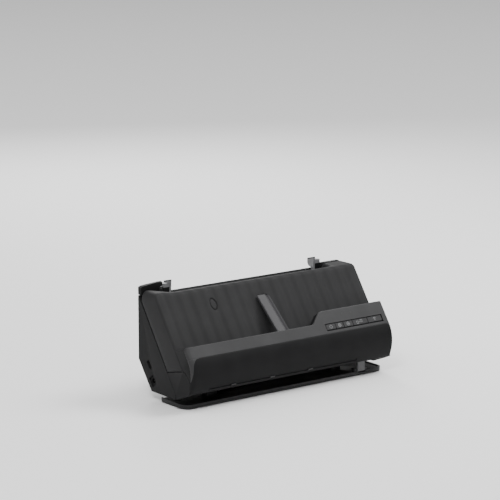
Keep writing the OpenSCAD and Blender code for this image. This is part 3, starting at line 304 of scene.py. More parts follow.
cover = {
    "halfWidth": 147.5, "top": 124.5, "face": 29.0, "wall": 2.4, "innerEnd": 142.0, "gap": 0.8,
    "endRound": 2.6, "leftRound": 7.0, "rightRound": 2.5, "cornerShare": 0.985,
    "crownDrop": 2.2, "crownSlope": (-140.5, -117.0), "crownRound": 7.0, "crownTurn": 55.0,
    "scoop": 8.0, "throatSlope": (-147.0, -100.0), "throatStep": (116.8, 119.6),
    "rearY": 44.0, "rearZ": 111.08, "rearRound": 4.0, "rearLeast": 0.2,
    "seamStart": 29.3, "seamFall": 0.404, "seamStretch": 1.0785, "seamRound": 0.25, "underSteps": 6,
    "ribPitch": 16.6, "ribShift": 4.0, "ribDepth": 1.1, "ribFlat": 0.8, "ribEnd": 141.0, "ribEase": 9.0,
    "ribFade": (80.0, 128.0),
    "windowX": (-60, -20, 20, 60), "windowHalf": 7.0, "windowS": (23.7, 36.3),
    "markX": -73.0, "markS": 91.0, "markWide": 4.6, "markTall": 7.0, "markDepth": 0.9, "markLine": 1.0,
    "markInk": 0.5, "markSharp": 1.5, "markReach": (6.2, 8.6), "markSteps": (32, 36),
    "leftFine": (-138.0, 9), "levelFacing": 0.5, "paintedShadeFrom": 21.0, "offFace": (200.0, -1.0),
    "rearSteps": 4, "roundSteps": 8, "topSteps": 7, "crownSteps": 15, "faceSteps": 30, "endSteps": 7,
    "alongSteps": 211,
}


def coverTop(x):
    # heights of the crown and of the rear edge along X: raised left end, then the crown runs on level
    # while the throat behind it falls to the rear edge, and a level right end, with rounded outer corners
    c = cover
    crown = c["top"] - c["crownDrop"]*smooth(*c["crownSlope"], x)
    rear = c["top"] - c["scoop"]*smooth(*c["throatSlope"], x)
    rear = rear + (c["scoop"] - c["crownDrop"])*smooth(*c["throatStep"], x)
    fall = 0*x
    for side, r in ((-1, c["leftRound"]), (1, c["rightRound"])):
        over = np.clip(side*x - (c["halfWidth"] - r), 0, r)
        fall = fall + (r - np.sqrt(r*r - over*over))*c["cornerShare"]
    return crown - fall, np.minimum(rear, crown) - fall


def ribWave(x):
    # 0 on a ridge, 1 in a valley: (1 - cos(2 pi (x - shift) / pitch)) / 2 with a slightly flattened ridge
    c = cover
    phase = np.cos(2*np.pi*(x - c["ribShift"])/c["ribPitch"])
    flat = (1 - np.sign(phase)*np.abs(phase)**c["ribFlat"])/2
    return flat*(1 - smooth(c["ribEnd"] - c["ribEase"], c["ribEnd"], np.abs(x)))


def coverSurface(x, inset):
    # rows run along X; each row is the outline pulled in by inset
    c = cover
    col = lambda v: np.asarray(v)[:, None]
    crown, rear = coverTop(x)
    cs, sn = math.cos(path["lean"]), math.sin(path["lean"])
    tangent = c["crownRound"]*math.tan(math.radians(c["crownTurn"]/2))
    cornerS = (crown - path["footZ"] - c["face"]*sn)/cs
    cornerY = pathPoint(cornerS, c["face"])[0]
    crownY, crownZ = cornerY + tangent, crown - c["crownRound"]
    rearZc = np.maximum(rear - c["rearRound"], c["rearZ"] + c["rearLeast"])
    d, e = col(inset), col(inset)*c["seamRound"]
    ys, zs = [], []
    t = np.linspace(0, 1, c["rearSteps"])[None, :]
    ys.append(c["rearY"] - e + 0*t)
    zs.append(c["rearZ"] + (col(rearZc) - c["rearZ"])*t)
    a = np.radians(np.linspace(0, 90, c["roundSteps"])[1:])[None, :]
    ys.append(c["rearY"] - c["rearRound"] + (c["rearRound"] - e)*np.cos(a))
    zs.append(col(rearZc) + (col(rear) - col(rearZc) - d)*np.sin(a))
    # the crown arc starts where the throat's slope leaves it; the valleys run over it and fade out
    lean = np.arctan2(crown - rear, c["rearY"] - c["rearRound"] - crownY)
    t = np.linspace(0, 1, c["crownSteps"])[None, :]
    a = (math.pi/2 - col(lean)) + (math.radians(90 + c["crownTurn"]) - math.pi/2 + col(lean))*t
    dip = c["ribDepth"]*ribWave(col(x))*smooth(*c["ribFade"], np.degrees(a))
    arcY = col(crownY) + (c["crownRound"] - d - dip)*np.cos(a)
    arcZ = col(crownZ) + (c["crownRound"] - d - dip)*np.sin(a)
    t = np.linspace(0, 1, c["topSteps"])[None, 1:-1]
    ys.append(ys[-1][:, -1:] + (arcY[:, :1] - ys[-1][:, -1:])*t)
    zs.append(zs[-1][:, -1:] + (arcZ[:, :1] - zs[-1][:, -1:])*t)
    ys.append(arcY)
    zs.append(arcZ)
    # ribbed face: n = face - depth wave(x), with the oval mark sunk where |q - 1| is small
    highS = col(cornerS) - tangent
    lowS = c["seamStart"] - c["seamFall"]*(c["face"] - d) + c["seamStretch"]*e
    midTop = c["top"] - c["crownDrop"]
    midHigh = (midTop - path["footZ"] - c["face"]*sn)/cs - tangent
    midLow = c["seamStart"] - c["seamFall"]*c["face"]
    markLow, markHigh = c["markS"] - c["markReach"][1], min(c["markS"] + c["markReach"][1], midHigh)
    stations = spread((midLow, midHigh, c["faceSteps"]), (markLow, markHigh, c["markSteps"][1]),
                      (*c["windowS"], 2))[::-1]
    t = ((midHigh - stations)/(midHigh - midLow))[None, 1:]
    s = highS + (lowS - highS)*t
    q = np.hypot((col(x) - c["markX"])/c["markWide"], (s - c["markS"])/c["markTall"])
    mark = c["markDepth"]*np.exp(-((q - 1)*c["markWide"]/c["markLine"]*c["markSharp"])**2)
    n = c["face"] - d - c["ribDepth"]*ribWave(col(x)) - mark
    y, z = pathPoint(s, n)
    faceStart = sum(v.shape[1] for v in ys)
    ys.append(y)
    zs.append(z)
    t = np.linspace(0, 1, c["underSteps"] + 1)[None, 1:]
    n = (c["face"] - d) + (c["gap"] - c["face"] + d)*t
    y, z = pathPoint(c["seamStart"] - c["seamFall"]*n + c["seamStretch"]*e, n)
    ys.append(y)
    zs.append(z)
    y, z = np.concatenate(ys, axis=1), np.concatenate(zs, axis=1)
    pts = np.stack([np.broadcast_to(col(x), y.shape), y, z], axis=-1)
    # off the face s is set past either end, so that no window is cut there
    sAll = np.pad(s, ((0, 0), (faceStart, c["underSteps"])), constant_values=c["offFace"])
    return pts, sAll, faceStart


def buildCover():
    # the skin on a grid of x by outline, drawn in by r (1 - cos f) at both ends, open at its windows
    c = cover
    turn = np.radians(np.linspace(0, 90, c["endSteps"]))
    flatEnd = c["halfWidth"] - c["endRound"]
    edges = [w + k for w in c["windowX"] for k in (-c["windowHalf"], c["windowHalf"])]
    reach = c["markReach"][0]
    inner = spread((-flatEnd, flatEnd, c["alongSteps"]), (-flatEnd, *c["leftFine"]),
                   (c["markX"] - reach, c["markX"] + reach, c["markSteps"][0]),
                   (-c["innerEnd"], c["innerEnd"], 2), *[(e, e, 1) for e in edges])
    ends = flatEnd + c["endRound"]*np.sin(turn[1:])
    pull = c["endRound"]*(1 - np.cos(turn[1:]))
    x = np.concatenate([-ends[::-1], inner, ends])
    inset = np.concatenate([pull[::-1], 0*inner, pull])
    pts, sAll, faceStart = coverSurface(x, inset)
    rows, cols = pts.shape[:2]
    xm, sm = (x[:-1] + x[1:])/2, (sAll[:-1, :-1] + sAll[1:, 1:])/2
    under = cols - 1 - c["underSteps"]
    keep = np.ones((rows - 1, cols - 1), bool)
    keep[:, under:] = (np.abs(xm) > c["innerEnd"])[:, None]  # the underside is open between the end walls
    inWindow = (np.abs(xm[:, None] - np.array(c["windowX"])[None, :]) < c["windowHalf"]).any(axis=1)
    inSlot = (sm > c["windowS"][0]) & (sm < c["windowS"][1])
    inSlot[:, under:] = False
    inSlot[:, :faceStart] = False
    keep &= ~(inWindow[:, None] & inSlot)
    quads = gridQuads(rows, cols, keep)
    caps = [list(range(cols)), list(range((rows - 1)*cols, rows*cols))]
    obj = makePiece("coverSkin", [(pts.reshape(-1, 3), list(quads) + caps)], "front_unit",
                    finish["cover"], facing=(0, -0.6, 0.8), thickness=c["wall"], angle=40)
    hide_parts("cover_shell")
    # the bottom of the oval groove is dark, and the level top of the right end gets the black finish as
    # painted shade, because that top lies in shade
    obj.data.materials.append(finish["black"])
    mid = polygonRows(obj.data, "center")/mm
    s = pathPlace(mid)[0]
    q = np.hypot((mid[:, 0] - c["markX"])/c["markWide"], (s - c["markS"])/c["markTall"])
    level = polygonRows(obj.data, "normal")[:, 2] > c["levelFacing"]
    # painted shade: the level top faces of the right end, past the throat step
    paintedShadeTop = (mid[:, 0] > c["throatStep"][1]) & (mid[:, 1] > c["paintedShadeFrom"]) & level
    dark = (np.abs(q - 1)*c["markWide"] < c["markInk"]) | paintedShadeTop
    obj.data.polygons.foreach_set("material_index", dark.astype(np.int32))


buildCover()
print("cover built")

# curved front panel: its face y(z) is a fourth degree curve, then the floor runs back under the machine

panel = {
    "halfWidth": 147.5, "endRound": (4.5, 2.0), "endShare": 0.85, "wall": 2.2, "innerEnd": 142.0,
    "stripS": 23.7, "stripN": 49.0, "crisp": 0.06, "degree": 4,
    "faceZ": (54.6, 48.0, 41.0, 33.6, 27.0, 20.8), "faceY": (-53.4, -55.3, -56.0, -55.4, -53.6, -51.0),
    "backZ": (20.3, 35.3, 45.9, 62.0), "backY": (-50.8, -49.9, -40.3, -36.0),
    "floorEnd": (-37.0, 15.3), "notchX": (104.7, 119.7), "notchY": -46.0,
    "grooveX": (-123.0, 94.0), "grooveZ": (23.4, 26.2), "grooveIn": 0.9,
    "tabX": (-88.0, -32.0, 24.0), "tabHalf": 3.5, "tabTop": 25.2,
    "tabFaceHalf": 3.3, "tabFaceZ": (23.5, 25.1), "tabLift": 0.12, "tabThick": 0.4, "tabSteps": (8, 4),
    "capFront": ((-50.8, 20.3), (-49.9, 35.3)), "capTop": (-40.3, 45.9), "capSeam": (17.42, 29.4),
    "capRound": 7.4, "capHigh": ((5.6, 29.4), (-0.3, 44.6)), "topLeft": 38.2, "topRight": 53.0,
    "alongSteps": 110, "faceSteps": 44, "floorSteps": 7, "endSteps": (9, 7),
}
panelStart = [float(v) for v in pathPoint(panel["stripS"], panel["stripN"])]
panelCurve = np.polyfit((panelStart[1], *panel["faceZ"]), (panelStart[0], *panel["faceY"]), panel["degree"])


def panelFace(x, z, lift=0.0):
    # y(z) pulled in along its normal towards the ends by r (1 - cos f), where x = flat + r sin f
    c = panel
    y, slope = np.polyval(panelCurve, z), np.polyval(np.polyder(panelCurve), z)
    size = np.hypot(1, slope)
    ny, nz = -1/size, slope/size
    back = np.interp(z, c["backZ"], c["backY"])
    r = np.where(x < 0, c["endRound"][0], c["endRound"][1])
    f = np.arcsin(np.clip((np.abs(x) - c["halfWidth"] + r)/r, 0, 1))
    pull = (1 - np.cos(f))*np.minimum(r, c["endShare"]*(back - y)) - lift
    return y - pull*ny, z - pull*nz


def endStations(r, half, k):
    # k - 1 stations round an end: half - r + r sin f
    return half - r + r*np.sin(np.radians(np.linspace(0, 90, k)))[1:]


def cornerArc(a, b, c, r, k=8):
    # an arc of radius r in place of the corner b between a and c
    a, b, c = (np.array(v, float) for v in (a, b, c))
    u, v = (a - b)/np.linalg.norm(a - b), (c - b)/np.linalg.norm(c - b)
    half = math.acos(float(np.clip(u @ v, -1, 1)))/2
    mid = b + (u + v)/np.linalg.norm(u + v)*r/math.sin(half)
    p, q = b + u*r/math.tan(half), b + v*r/math.tan(half)
    a0, a1 = math.atan2(*(p - mid)[::-1]), math.atan2(*(q - mid)[::-1])
    a1 += 2*math.pi*round((a0 - a1)/(2*math.pi))
    t = np.linspace(a0, a1, k)
    return [tuple(mid + r*np.array([math.cos(w), math.sin(w)])) for w in t]


def buildPanel():
    # face and floor on one grid of x by z, then at each end a flat face and its edging to the inside
    c = panel
    both = (-c["crisp"], c["crisp"])
    steps = [v + k for v in (*c["grooveZ"], c["tabTop"]) for k in both]
    z = spread((panelStart[1], c["faceZ"][-1], c["faceSteps"]), *[(v, v, 1) for v in steps])[::-1]
    tabEdges = [x + k*c["tabHalf"] + e for x in c["tabX"] for k in (-1, 1) for e in both]
    grooveEdges = [x + e for x in c["grooveX"] for e in both]
    flat = [c["halfWidth"] - r for r in c["endRound"]]
    inner = spread((-flat[0], flat[1], c["alongSteps"]), (*c["notchX"], 2),
                   *[(v, v, 1) for v in tabEdges + grooveEdges])
    ends = [endStations(r, c["halfWidth"], k) for r, k in zip(c["endRound"], c["endSteps"])]
    x = np.concatenate([-ends[0][::-1], inner, ends[1]])
    xx, zz = np.meshgrid(x, z, indexing="ij")
    inGroove = (xx > c["grooveX"][0]) & (xx < c["grooveX"][1])
    inGroove &= (zz > c["grooveZ"][0]) & (zz < c["grooveZ"][1])
    onTab = (np.abs(xx[:, :, None] - np.array(c["tabX"])) < c["tabHalf"]).any(axis=2) & (zz < c["tabTop"])
    yy, zz = panelFace(xx, zz)
    yy = yy + c["grooveIn"]*(inGroove & ~onTab)
    faceCols = len(z)
    cut = (c["notchY"] - c["faceY"][-1])/(c["floorEnd"][0] - c["faceY"][-1])
    t = spread((cut/2, 1, c["floorSteps"]), (cut, cut, 1))[None, :]
    fy = yy[:, -1:] + (c["floorEnd"][0] - yy[:, -1:])*t
    fz = zz[:, -1:] + (c["floorEnd"][1] - zz[:, -1:])*t
    yy, zz = np.concatenate([yy, fy], axis=1), np.concatenate([zz, fz], axis=1)
    pts = np.stack([np.broadcast_to(x[:, None], yy.shape), yy, zz], axis=-1)
    rows, cols = pts.shape[:2]
    xm, ym = (x[:-1] + x[1:])/2, (yy[:-1, :-1] + yy[1:, 1:])/2
    onFloor = (np.arange(cols - 1) >= faceCols - 1)[None, :]
    keep = ~onFloor | (np.abs(xm) < c["innerEnd"])[:, None]
    keep &= ~(onFloor & ((xm > c["notchX"][0]) & (xm < c["notchX"][1]))[:, None] & (ym > c["notchY"]))
    parts = [(pts.reshape(-1, 3), list(gridQuads(rows, cols, keep)))]
    for row, side, top in ((0, -1, c["topLeft"]), (rows - 1, 1, c["topRight"])):
        edge = [tuple(v) for v in pts[row, :faceCols, 1:]]
        back = [c["capFront"][0], c["capFront"][1]]
        back += cornerArc(c["capFront"][1], c["capTop"], tuple(pathPoint(*c["capSeam"])), c["capRound"])
        high = [(top + up, n) for up, n in c["capHigh"]]
        back += [tuple(float(v) for v in pathPoint(s, n)) for s, n in (c["capSeam"], *high)]
        ring = np.array(edge + back)
        flatFace = np.column_stack([np.full(len(ring), side*c["halfWidth"]), ring])
        parts.append((flatFace, [list(range(len(ring)))]))
        rim = np.array([edge[-1]] + back + [edge[0]])
        k = len(rim)
        walls = (c["halfWidth"], c["innerEnd"])
        edging = np.concatenate([np.column_stack([np.full(k, side*v), rim]) for v in walls])
        parts.append((edging, list(gridQuads(2, k))))
    obj = makePiece("panelSkin", parts, "front_unit", finish["panel"], facing=(0, -1, 0),
                    thickness=c["wall"], angle=38)
    obj.modifiers["wall"].use_even_offset = False
    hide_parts("front_panel")
    # painted highlight: the fronts of the three tabs in the groove are thin sheets in the paler strip
    # finish, standing in for their glints
    tabs = []
    wide, tall = c["tabSteps"]
    for tab in c["tabX"]:
        across = np.linspace(tab - c["tabFaceHalf"], tab + c["tabFaceHalf"], wide)
        px, pz = np.meshgrid(across, np.linspace(*c["tabFaceZ"], tall), indexing="ij")
        py, pz = panelFace(px, pz, c["tabLift"])
        tabs.append((np.stack([px, py, pz], axis=-1).reshape(-1, 3), list(gridQuads(wide, tall))))
    makePiece("panelTabHighlights", tabs, "front_unit", finish["strip"], facing=(0, -1, 0),
              thickness=c["tabThick"])


buildPanel()
print("front panel built")

# strip and control panel: a plate that follows its outline, with a sunk pocket round the keys

strip = {
    "halfWidth": 147.5, "endRound": (4.5, 2.0), "low": 23.7, "top": 38.2, "panelTop": 53.0, "face": 49.0,
    "under": 46.5, "edgeRound": 0.9, "cornerRound": 2.4, "cornerShare": 0.6, "crisp": 0.08,
    "lowEdge": 0.25, "lowRound": 0.06, "lowEnd": 37.0,
    "endWall": 142.5, "endUnder": 44.3, "leastThick": 0.1,
    "stepX": (36.5, 52.0), "stepFine": (33.0, 55.0, 30), "stepEase": 0.035, "stepReach": 0.18,
    "alongSteps": 110, "lowSteps": 36, "highSteps": 14, "edgeSteps": 6, "endSteps": (9, 7),
    "pocketX": (53.0, 139.7), "pocketS": (27.1, 36.1), "pocketDepth": 1.9, "darkX": (52.0, 141.0),
    "darkIn": (0.3, 0.1), "apronTall": 27.0, "apronCorner": 8.5, "apronPower": 0.7, "apronLift": 0.1,
    "apronThick": 0.4, "apronTurn": 1.57, "apronSteps": (40, 18), "backingGap": 0.02, "backingEdge": 0.25,
}


def buildStrip():
    # loops round the plate's section, n(s) = face less the pocket's depth, carried along X
    c = strip
    ends = [endStations(r, c["halfWidth"], k) for r, k in zip(c["endRound"], c["endSteps"])]
    flat = [c["halfWidth"] - r for r in c["endRound"]]
    crisp = lambda places: [(v - c["crisp"], v + c["crisp"], 2) for v in places]
    inner = spread((-flat[0], flat[1], c["alongSteps"]), c["stepFine"], *crisp(c["pocketX"]))
    x = np.concatenate([-ends[0][::-1], inner, ends[1]])
    r = np.where(x < 0, *c["endRound"])
    f = np.arcsin(np.clip((np.abs(x) - c["halfWidth"] + r)/r, 0, 1))
    drop = (r*(1 - np.cos(f)))[:, None]
    # upper edge: strip top, a slanted step with eased ends, panel top, and small outer corners
    step = (x - c["stepX"][0])/(c["stepX"][1] - c["stepX"][0])
    reach = c["stepReach"]
    lift = smooth(-reach, 0.0, step)*(1 - smooth(0.0, reach, step))
    sag = smooth(1 - reach, 1.0, step)*(1 - smooth(1.0, 1 + reach, step))
    eased = np.clip(step, 0, 1) + c["stepEase"]*(lift - sag)
    top = c["top"] + (c["panelTop"] - c["top"])*eased
    over = np.clip(np.abs(x) - (c["halfWidth"] - c["cornerRound"]), 0, c["cornerRound"])
    fall = c["cornerRound"] - np.sqrt(c["cornerRound"]**2 - over**2)
    top = (top - c["cornerShare"]*fall)[:, None]
    e = c["edgeRound"]
    lowSet = spread((c["low"] + c["lowEdge"], c["lowEnd"], c["lowSteps"]), *crisp(c["pocketS"]))
    sLow = np.broadcast_to(lowSet[None, :], (len(x), len(lowSet)))
    sHigh = lowSet[-1] + (top - e - lowSet[-1])*np.linspace(0, 1, c["highSteps"])[None, 1:]
    s = np.concatenate([sLow, sHigh], axis=1)
    face = c["face"] - drop
    hole = ((x > c["pocketX"][0]) & (x < c["pocketX"][1]))[:, None]
    hole = hole & (s > c["pocketS"][0]) & (s < c["pocketS"][1])
    n = face - c["pocketDepth"]*hole
    a = np.radians(np.linspace(0, 90, c["edgeSteps"]))[None, 1:]
    under = np.where(np.abs(x) > c["endWall"], c["endUnder"], c["under"])[:, None]
    under = np.minimum(under, face - c["leastThick"])
    sRound, nRound = top - e + e*np.sin(a), np.maximum(face - e + e*np.cos(a), under)
    flatLow = c["low"] + 0*top
    sAll = np.concatenate([flatLow, flatLow, flatLow + c["lowRound"], s, sRound, top], axis=1)
    nAll = np.concatenate([under, face - c["lowEdge"], face - c["lowRound"], n, nRound, under], axis=1)
    y, z = pathPoint(sAll, nAll)
    pts = np.stack([np.broadcast_to(x[:, None], y.shape), y, z], axis=-1)
    rows, cols = pts.shape[:2]
    caps = [list(range(cols)), list(range((rows - 1)*cols, rows*cols))]
    faces = list(gridQuads(rows, cols, wrap=True)) + caps
    obj = makePiece("controlStrip", [(pts.reshape(-1, 3), faces)], "front_unit", finish["strip"],
                    angle=42)
    # the bottom and the walls of the pocket are dark
    obj.data.materials.append(finish["black"])
    mid = polygonRows(obj.data, "center")/mm
    stand = pathPlace(mid)[1]
    sunk = (mid[:, 0] > c["darkX"][0]) & (mid[:, 0] < c["darkX"][1])
    sunk &= (stand < c["face"] - c["darkIn"][0]) & (stand > c["under"] + c["darkIn"][1])
    obj.data.polygons.foreach_set("material_index", sunk.astype(np.int32))
    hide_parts("control_panel")
    # at each end the strip's colour wraps round its top corner and runs down the rounded end of the front
    # panel, narrowing to a point; the wrap is the strip's own colour, while the long narrowing run down the
    # end is a painted highlight on that rounded edge. Its width, with a quarter round of radius q where it
    # leaves the strip:
    # width = (quarter turn of r)(1 - v)^power + q - sqrt(q^2 - (q - h)^2)
    rows, cols = c["apronSteps"]
    v = np.linspace(0, 1, rows)[:, None]
    for side, name, r in zip((-1, 1), ("stripWrapAndHighlightLeft", "stripWrapAndHighlightRight"), panel["endRound"]):
        scale, quarter = r/panel["endRound"][0], c["apronTurn"]*r
        tall, q = c["apronTall"]*scale, c["apronCorner"]*scale
        wide = quarter*(1 - v)**c["apronPower"] + q - np.sqrt(q*q - np.clip(q - tall*v, 0, q)**2)
        u = wide*np.linspace(0, 1, cols)[None, :]
        f = np.clip(1 - u/quarter, 0, 1)*math.pi/2
        px = side*(panel["halfWidth"] - r + r*np.sin(f) - np.clip(u - quarter, 0, None))
        py, pz = panelFace(px, panelStart[1] - c["apronLift"] - tall*v, c["apronLift"])
        apron = np.stack([px, py, pz], axis=-1)
        makePiece(name, [(apron.reshape(-1, 3), list(gridQuads(rows, cols)))], "front_unit",
                  finish["strip"], facing=(0, -1, 0), thickness=c["apronThick"])


def buildBacking():
    # what the CAD control panel carries under its plate: ledges, skirt, lugs of the arm, posts and
    # the wall behind the board, cut off along the plate's underside
    c = strip
    obj = softEdged("control_panel", finish["black"], 0)
    obj.name = obj.data.name = "panelBacking"
    y, z = pathPoint(0, c["under"] - c["backingGap"])
    normal = (0, -math.cos(path["lean"]), math.sin(path["lean"]))
    bm = bmesh.new()
    bm.from_mesh(obj.data)
    cut = bmesh.ops.bisect_plane(bm, geom=list(bm.verts) + list(bm.edges) + list(bm.faces),
                                 plane_co=(0, y*mm, z*mm), plane_no=normal, clear_outer=True)
    rim = [e for e in cut["geom_cut"] if isinstance(e, bmesh.types.BMEdge)]
    bmesh.ops.triangle_fill(bm, edges=rim, use_beauty=True, normal=normal)
    bmesh.ops.recalc_face_normals(bm, faces=bm.faces)
    bm.to_mesh(obj.data)
    bm.free()
    addBevel(obj, c["backingEdge"])


buildStrip()
buildBacking()
print("strip built")

# output arm: loops across the blade carried from root to tip, with a groove and a rim at its right edge

arm = {
    "left": -12.35, "right": 4.35,
    "low": ((36.0, 41.8), (90.0, 29.5)), "high": ((37.0, 44.9), (91.5, 32.1)),
    "tipRound": (2.0, 5.0), "tipStart": 0.88, "tipSteps": 14, "alongSteps": 20,
    "pivot": (36.0, 44.0), "barrel": 2.2, "pin": 1.2, "pinOut": 2.9,
    "bed": (0.03, 0.08), "sink": 0.45, "rim": (0.86, 0.97),
    "groove": (0.68, 0.82), "grooveOut": (0.80, 0.90), "cut": 0.8,
    "leftEdge": (0.03, 0.5), "rightEdge": (0.975, 0.35),
    "leftAcross": (0, 0.015, 0.05), "bedAcross": (0.08, 0.66, 10), "grooveAcross": (0.68, 0.98, 21),
    "rightAcross": (0.992, 1.0),
}


def roundBar(x0, x1, at, radius, k=20):
    # a closed cylinder along X about the path point at
    y0, z0 = (float(v) for v in pathPoint(*at))
    a = np.linspace(0, 2*np.pi, k, endpoint=False)[None, :]
    x = np.array([x0, x1])[:, None]
    pts = np.stack([x + 0*a, y0 + radius*np.cos(a) + 0*x, z0 + radius*np.sin(a) + 0*x], axis=-1)
    return pts.reshape(-1, 3), list(gridQuads(2, k, wrap=True)) + [list(range(k)), list(range(k, 2*k))]


def buildArm():
    # the top face runs from high[0] to high[1] less its depth down(b), the underside from low[0] to low[1]
    c = arm
    start = c["tipStart"]
    tip = np.sin(np.radians(np.linspace(0, 90, c["tipSteps"])))[1:]
    t = np.concatenate([np.linspace(0, start, c["alongSteps"]), start + (1 - start)*tip])
    length = math.hypot(c["high"][1][0] - c["high"][0][0], c["high"][1][1] - c["high"][0][1])
    left = length*(1 - t)
    pull = [r - np.sqrt(np.maximum(r*r - np.clip(r - left, 0, r)**2, 0)) for r in c["tipRound"]]
    x0, x1 = (c["left"] + pull[0])[:, None], (c["right"] - pull[1])[:, None]
    inner = np.linspace(*c["bedAcross"]), np.linspace(*c["grooveAcross"])
    b = np.concatenate([c["leftAcross"], *inner, c["rightAcross"]])[None, :]
    full = c["left"] + (c["right"] - c["left"])*b
    # down from the top face: a shallow bed, the groove in it, and the two eased edges
    down = c["sink"]*smooth(*c["bed"], b)*(1 - smooth(*c["rim"], b))
    down = down + c["cut"]*smooth(*c["groove"], b)*(1 - smooth(*c["grooveOut"], b))
    down = down + c["leftEdge"][1]*(1 - smooth(0, c["leftEdge"][0], b))
    down = down + c["rightEdge"][1]*smooth(c["rightEdge"][0], 1.0, b)
    x = np.clip(full, x0, x1)
    tt = t[:, None]
    mix = lambda ends, i: ends[0][i] + (ends[1][i] - ends[0][i])*tt
    sTop, nTop = mix(c["high"], 0) + 0*b, mix(c["high"], 1) - down
    sLow, nLow = mix(c["low"], 0) + 0*b, mix(c["low"], 1) + 0*b
    loop = lambda upper, lower: np.concatenate([upper, lower[:, ::-1]], axis=1)
    y, z = pathPoint(loop(sTop, sLow), loop(nTop, nLow))
    pts = np.stack([loop(x, x), y, z], axis=-1)
    rows, cols = pts.shape[:2]
    caps = [list(range(cols)), list(range((rows - 1)*cols, rows*cols))]
    blade = (pts.reshape(-1, 3), list(gridQuads(rows, cols, wrap=True)) + caps)
    parts = [blade, roundBar(c["left"], c["right"], c["pivot"], c["barrel"]),
             roundBar(c["left"] - c["pinOut"], c["right"] + c["pinOut"], c["pivot"], c["pin"])]
    obj = makePiece("armBlade", parts, "output_arm", finish["arm"], angle=50)
    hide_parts("output_arm")


buildArm()
print("output arm built")

# edge guides: pale fins and grips with a dark foot and a dark cap on the fin
guide = {
    "edge": 0.25, "footZ": 122.85, "footX": 107.9, "capX": 108.1, "capDrop": 1.5,
    "rearTop": (56.0, 128.6), "frontTop": (43.9, 131.8),
}


def buildGuide(node):
    # a copy of the CAD guide, cut level at the foot and along the cap's lower edge, coloured by place
    g = guide
    obj = softEdged(node, finish["guide_grey"], 0)
    mesh = obj.data
    (ya, za), (yb, zb) = g["rearTop"], g["frontTop"]
    size = math.hypot(zb - za, yb - ya)
    up = (0.0, (zb - za)/size, (ya - yb)/size)
    at = (0.0, ya*mm - up[1]*g["capDrop"]*mm, za*mm - up[2]*g["capDrop"]*mm)
    bm = bmesh.new()
    bm.from_mesh(mesh)
    for co, no in ((at, up), ((0, 0, g["footZ"]*mm), (0, 0, 1))):
        geom = list(bm.verts) + list(bm.edges) + list(bm.faces)
        bmesh.ops.bisect_plane(bm, geom=geom, plane_co=co, plane_no=no)
    bm.to_mesh(mesh)
    bm.free()
    mesh.materials.append(finish["black"])
    mid = polygonRows(mesh, "center")
    out = np.abs(mid[:, 0])
    cap = ((mid - np.array(at)) @ np.array(up) > 0) & (out < g["capX"]*mm)
    foot = (mid[:, 2] < g["footZ"]*mm) & (out > g["footX"]*mm)
    mesh.polygons.foreach_set("material_index", (cap | foot).astype(np.int32))
    addBevel(obj, g["edge"])


for node in ("edge_guide_left", "edge_guide_right"):
    buildGuide(node)
print("edge guides built")

# pale marks on the keys, each a row of flat strokes just above its key
icons = {
    "s": 31.9, "lift": 48.53, "line": 0.5, "bold": 0.6, "arcSteps": 19,
    "keyX": (60.9, 74.2, 87.2, 104.4, 128.1),
}


def arcStroke(x, s, r, a0, a1, w):
    # a band of width w on the circle of radius r about (x, s), from a0 to a1 degrees
    k = icons["arcSteps"]
    a = np.radians(np.linspace(a0, a1, k))[:, None]
    rr = np.array([r - w/2, r + w/2])[None, :]
    y, z = pathPoint(s + rr*np.sin(a), icons["lift"])
    return np.stack([x + rr*np.cos(a), y, z], axis=-1).reshape(-1, 3), list(gridQuads(k, 2))


def lineStroke(xa, sa, xb, sb, w):
    # a bar of width w from (xa, sa) to (xb, sb)
    size = math.hypot(xb - xa, sb - sa)
    across, along = -(sb - sa)/size*w/2, (xb - xa)/size*w/2
    x = np.array([xa - across, xb - across, xb + across, xa + across])
    y, z = pathPoint(np.array([sa - along, sb - along, sb + along, sa + along]), icons["lift"])
    return np.stack([x, y, z], axis=-1), [[0, 1, 2, 3]]


def buildIcons():
    # sizes of the strokes are in mm from the middle of each key
    s, w, bold = icons["s"], icons["line"], icons["bold"]
    x1, x2, x3, x4, x5 = icons["keyX"]

    def box(x, y, a, b):
        # four bars round (x, y), a and b from its middle
        corners = [(x - a, y - b), (x + a, y - b), (x + a, y + b), (x - a, y + b)]
        return [lineStroke(*corners[k], *corners[(k + 1) % 4], w) for k in range(4)]

    sets = {
        # an open ring with a bar in its gap
        "button_1": [arcStroke(x1, s, 1.9, 120, 420, w), lineStroke(x1, s + 0.6, x1, s + 2.4, w)],
        # two rings
        "button_2": [arcStroke(x2, s, 1.9, 0, 360, bold), arcStroke(x2, s, 0.6, 0, 360, bold)],
        # a cross in a ring
        "button_3": [arcStroke(x3, s, 2.0, 0, 360, w), lineStroke(x3 - 0.9, s - 0.8, x3 + 0.9, s + 0.8, w),
                     lineStroke(x3 - 0.9, s + 0.8, x3 + 0.9, s - 0.8, w)],
        # two boxes and a bar between them
        "button_4": [*box(x4 + 3.0, s + 0.7, 1.3, 1.5), *box(x4 - 3.0, s - 0.5, 1.2, 1.5),
                     lineStroke(x4 - 1.0, s, x4 + 0.8, s, w)],
        # three arcs over a dot
        "button_5": [*(arcStroke(x5, s - 1.2, r, 50, 130, w) for r in (1.0, 2.0, 3.0)),
                     arcStroke(x5, s - 1.2, 0.25, 0, 360, w)],
    }
    for body, strokes in sets.items():
        makePiece(body + "Mark", strokes, body, inkMaterial, facing=(0, -0.8, 0.6))


buildIcons()
print("key marks built")

# softened copies of the other outer mouldings, each with the radius of its edges in mm
softEdges = {
    "side_cover_left": 0.5, "side_cover_right": 0.5, "base_plate": 0.45, "tilt_lever": 0.5,
    "release_lever": 0.5, "input_tray": 0.35, "rear_housing": 0.6, "data_socket": 0.12,
    "power_inlet": 0.25, **{"button_%d" % k: 0.45 for k in range(1, 6)}, "base_feet": 0.3,
}
for node, width in softEdges.items():
    softEdged(node, leverMaterial if node == "tilt_lever" else finish[slotOf[node]], width)
print("edges softened:", len(softEdges))

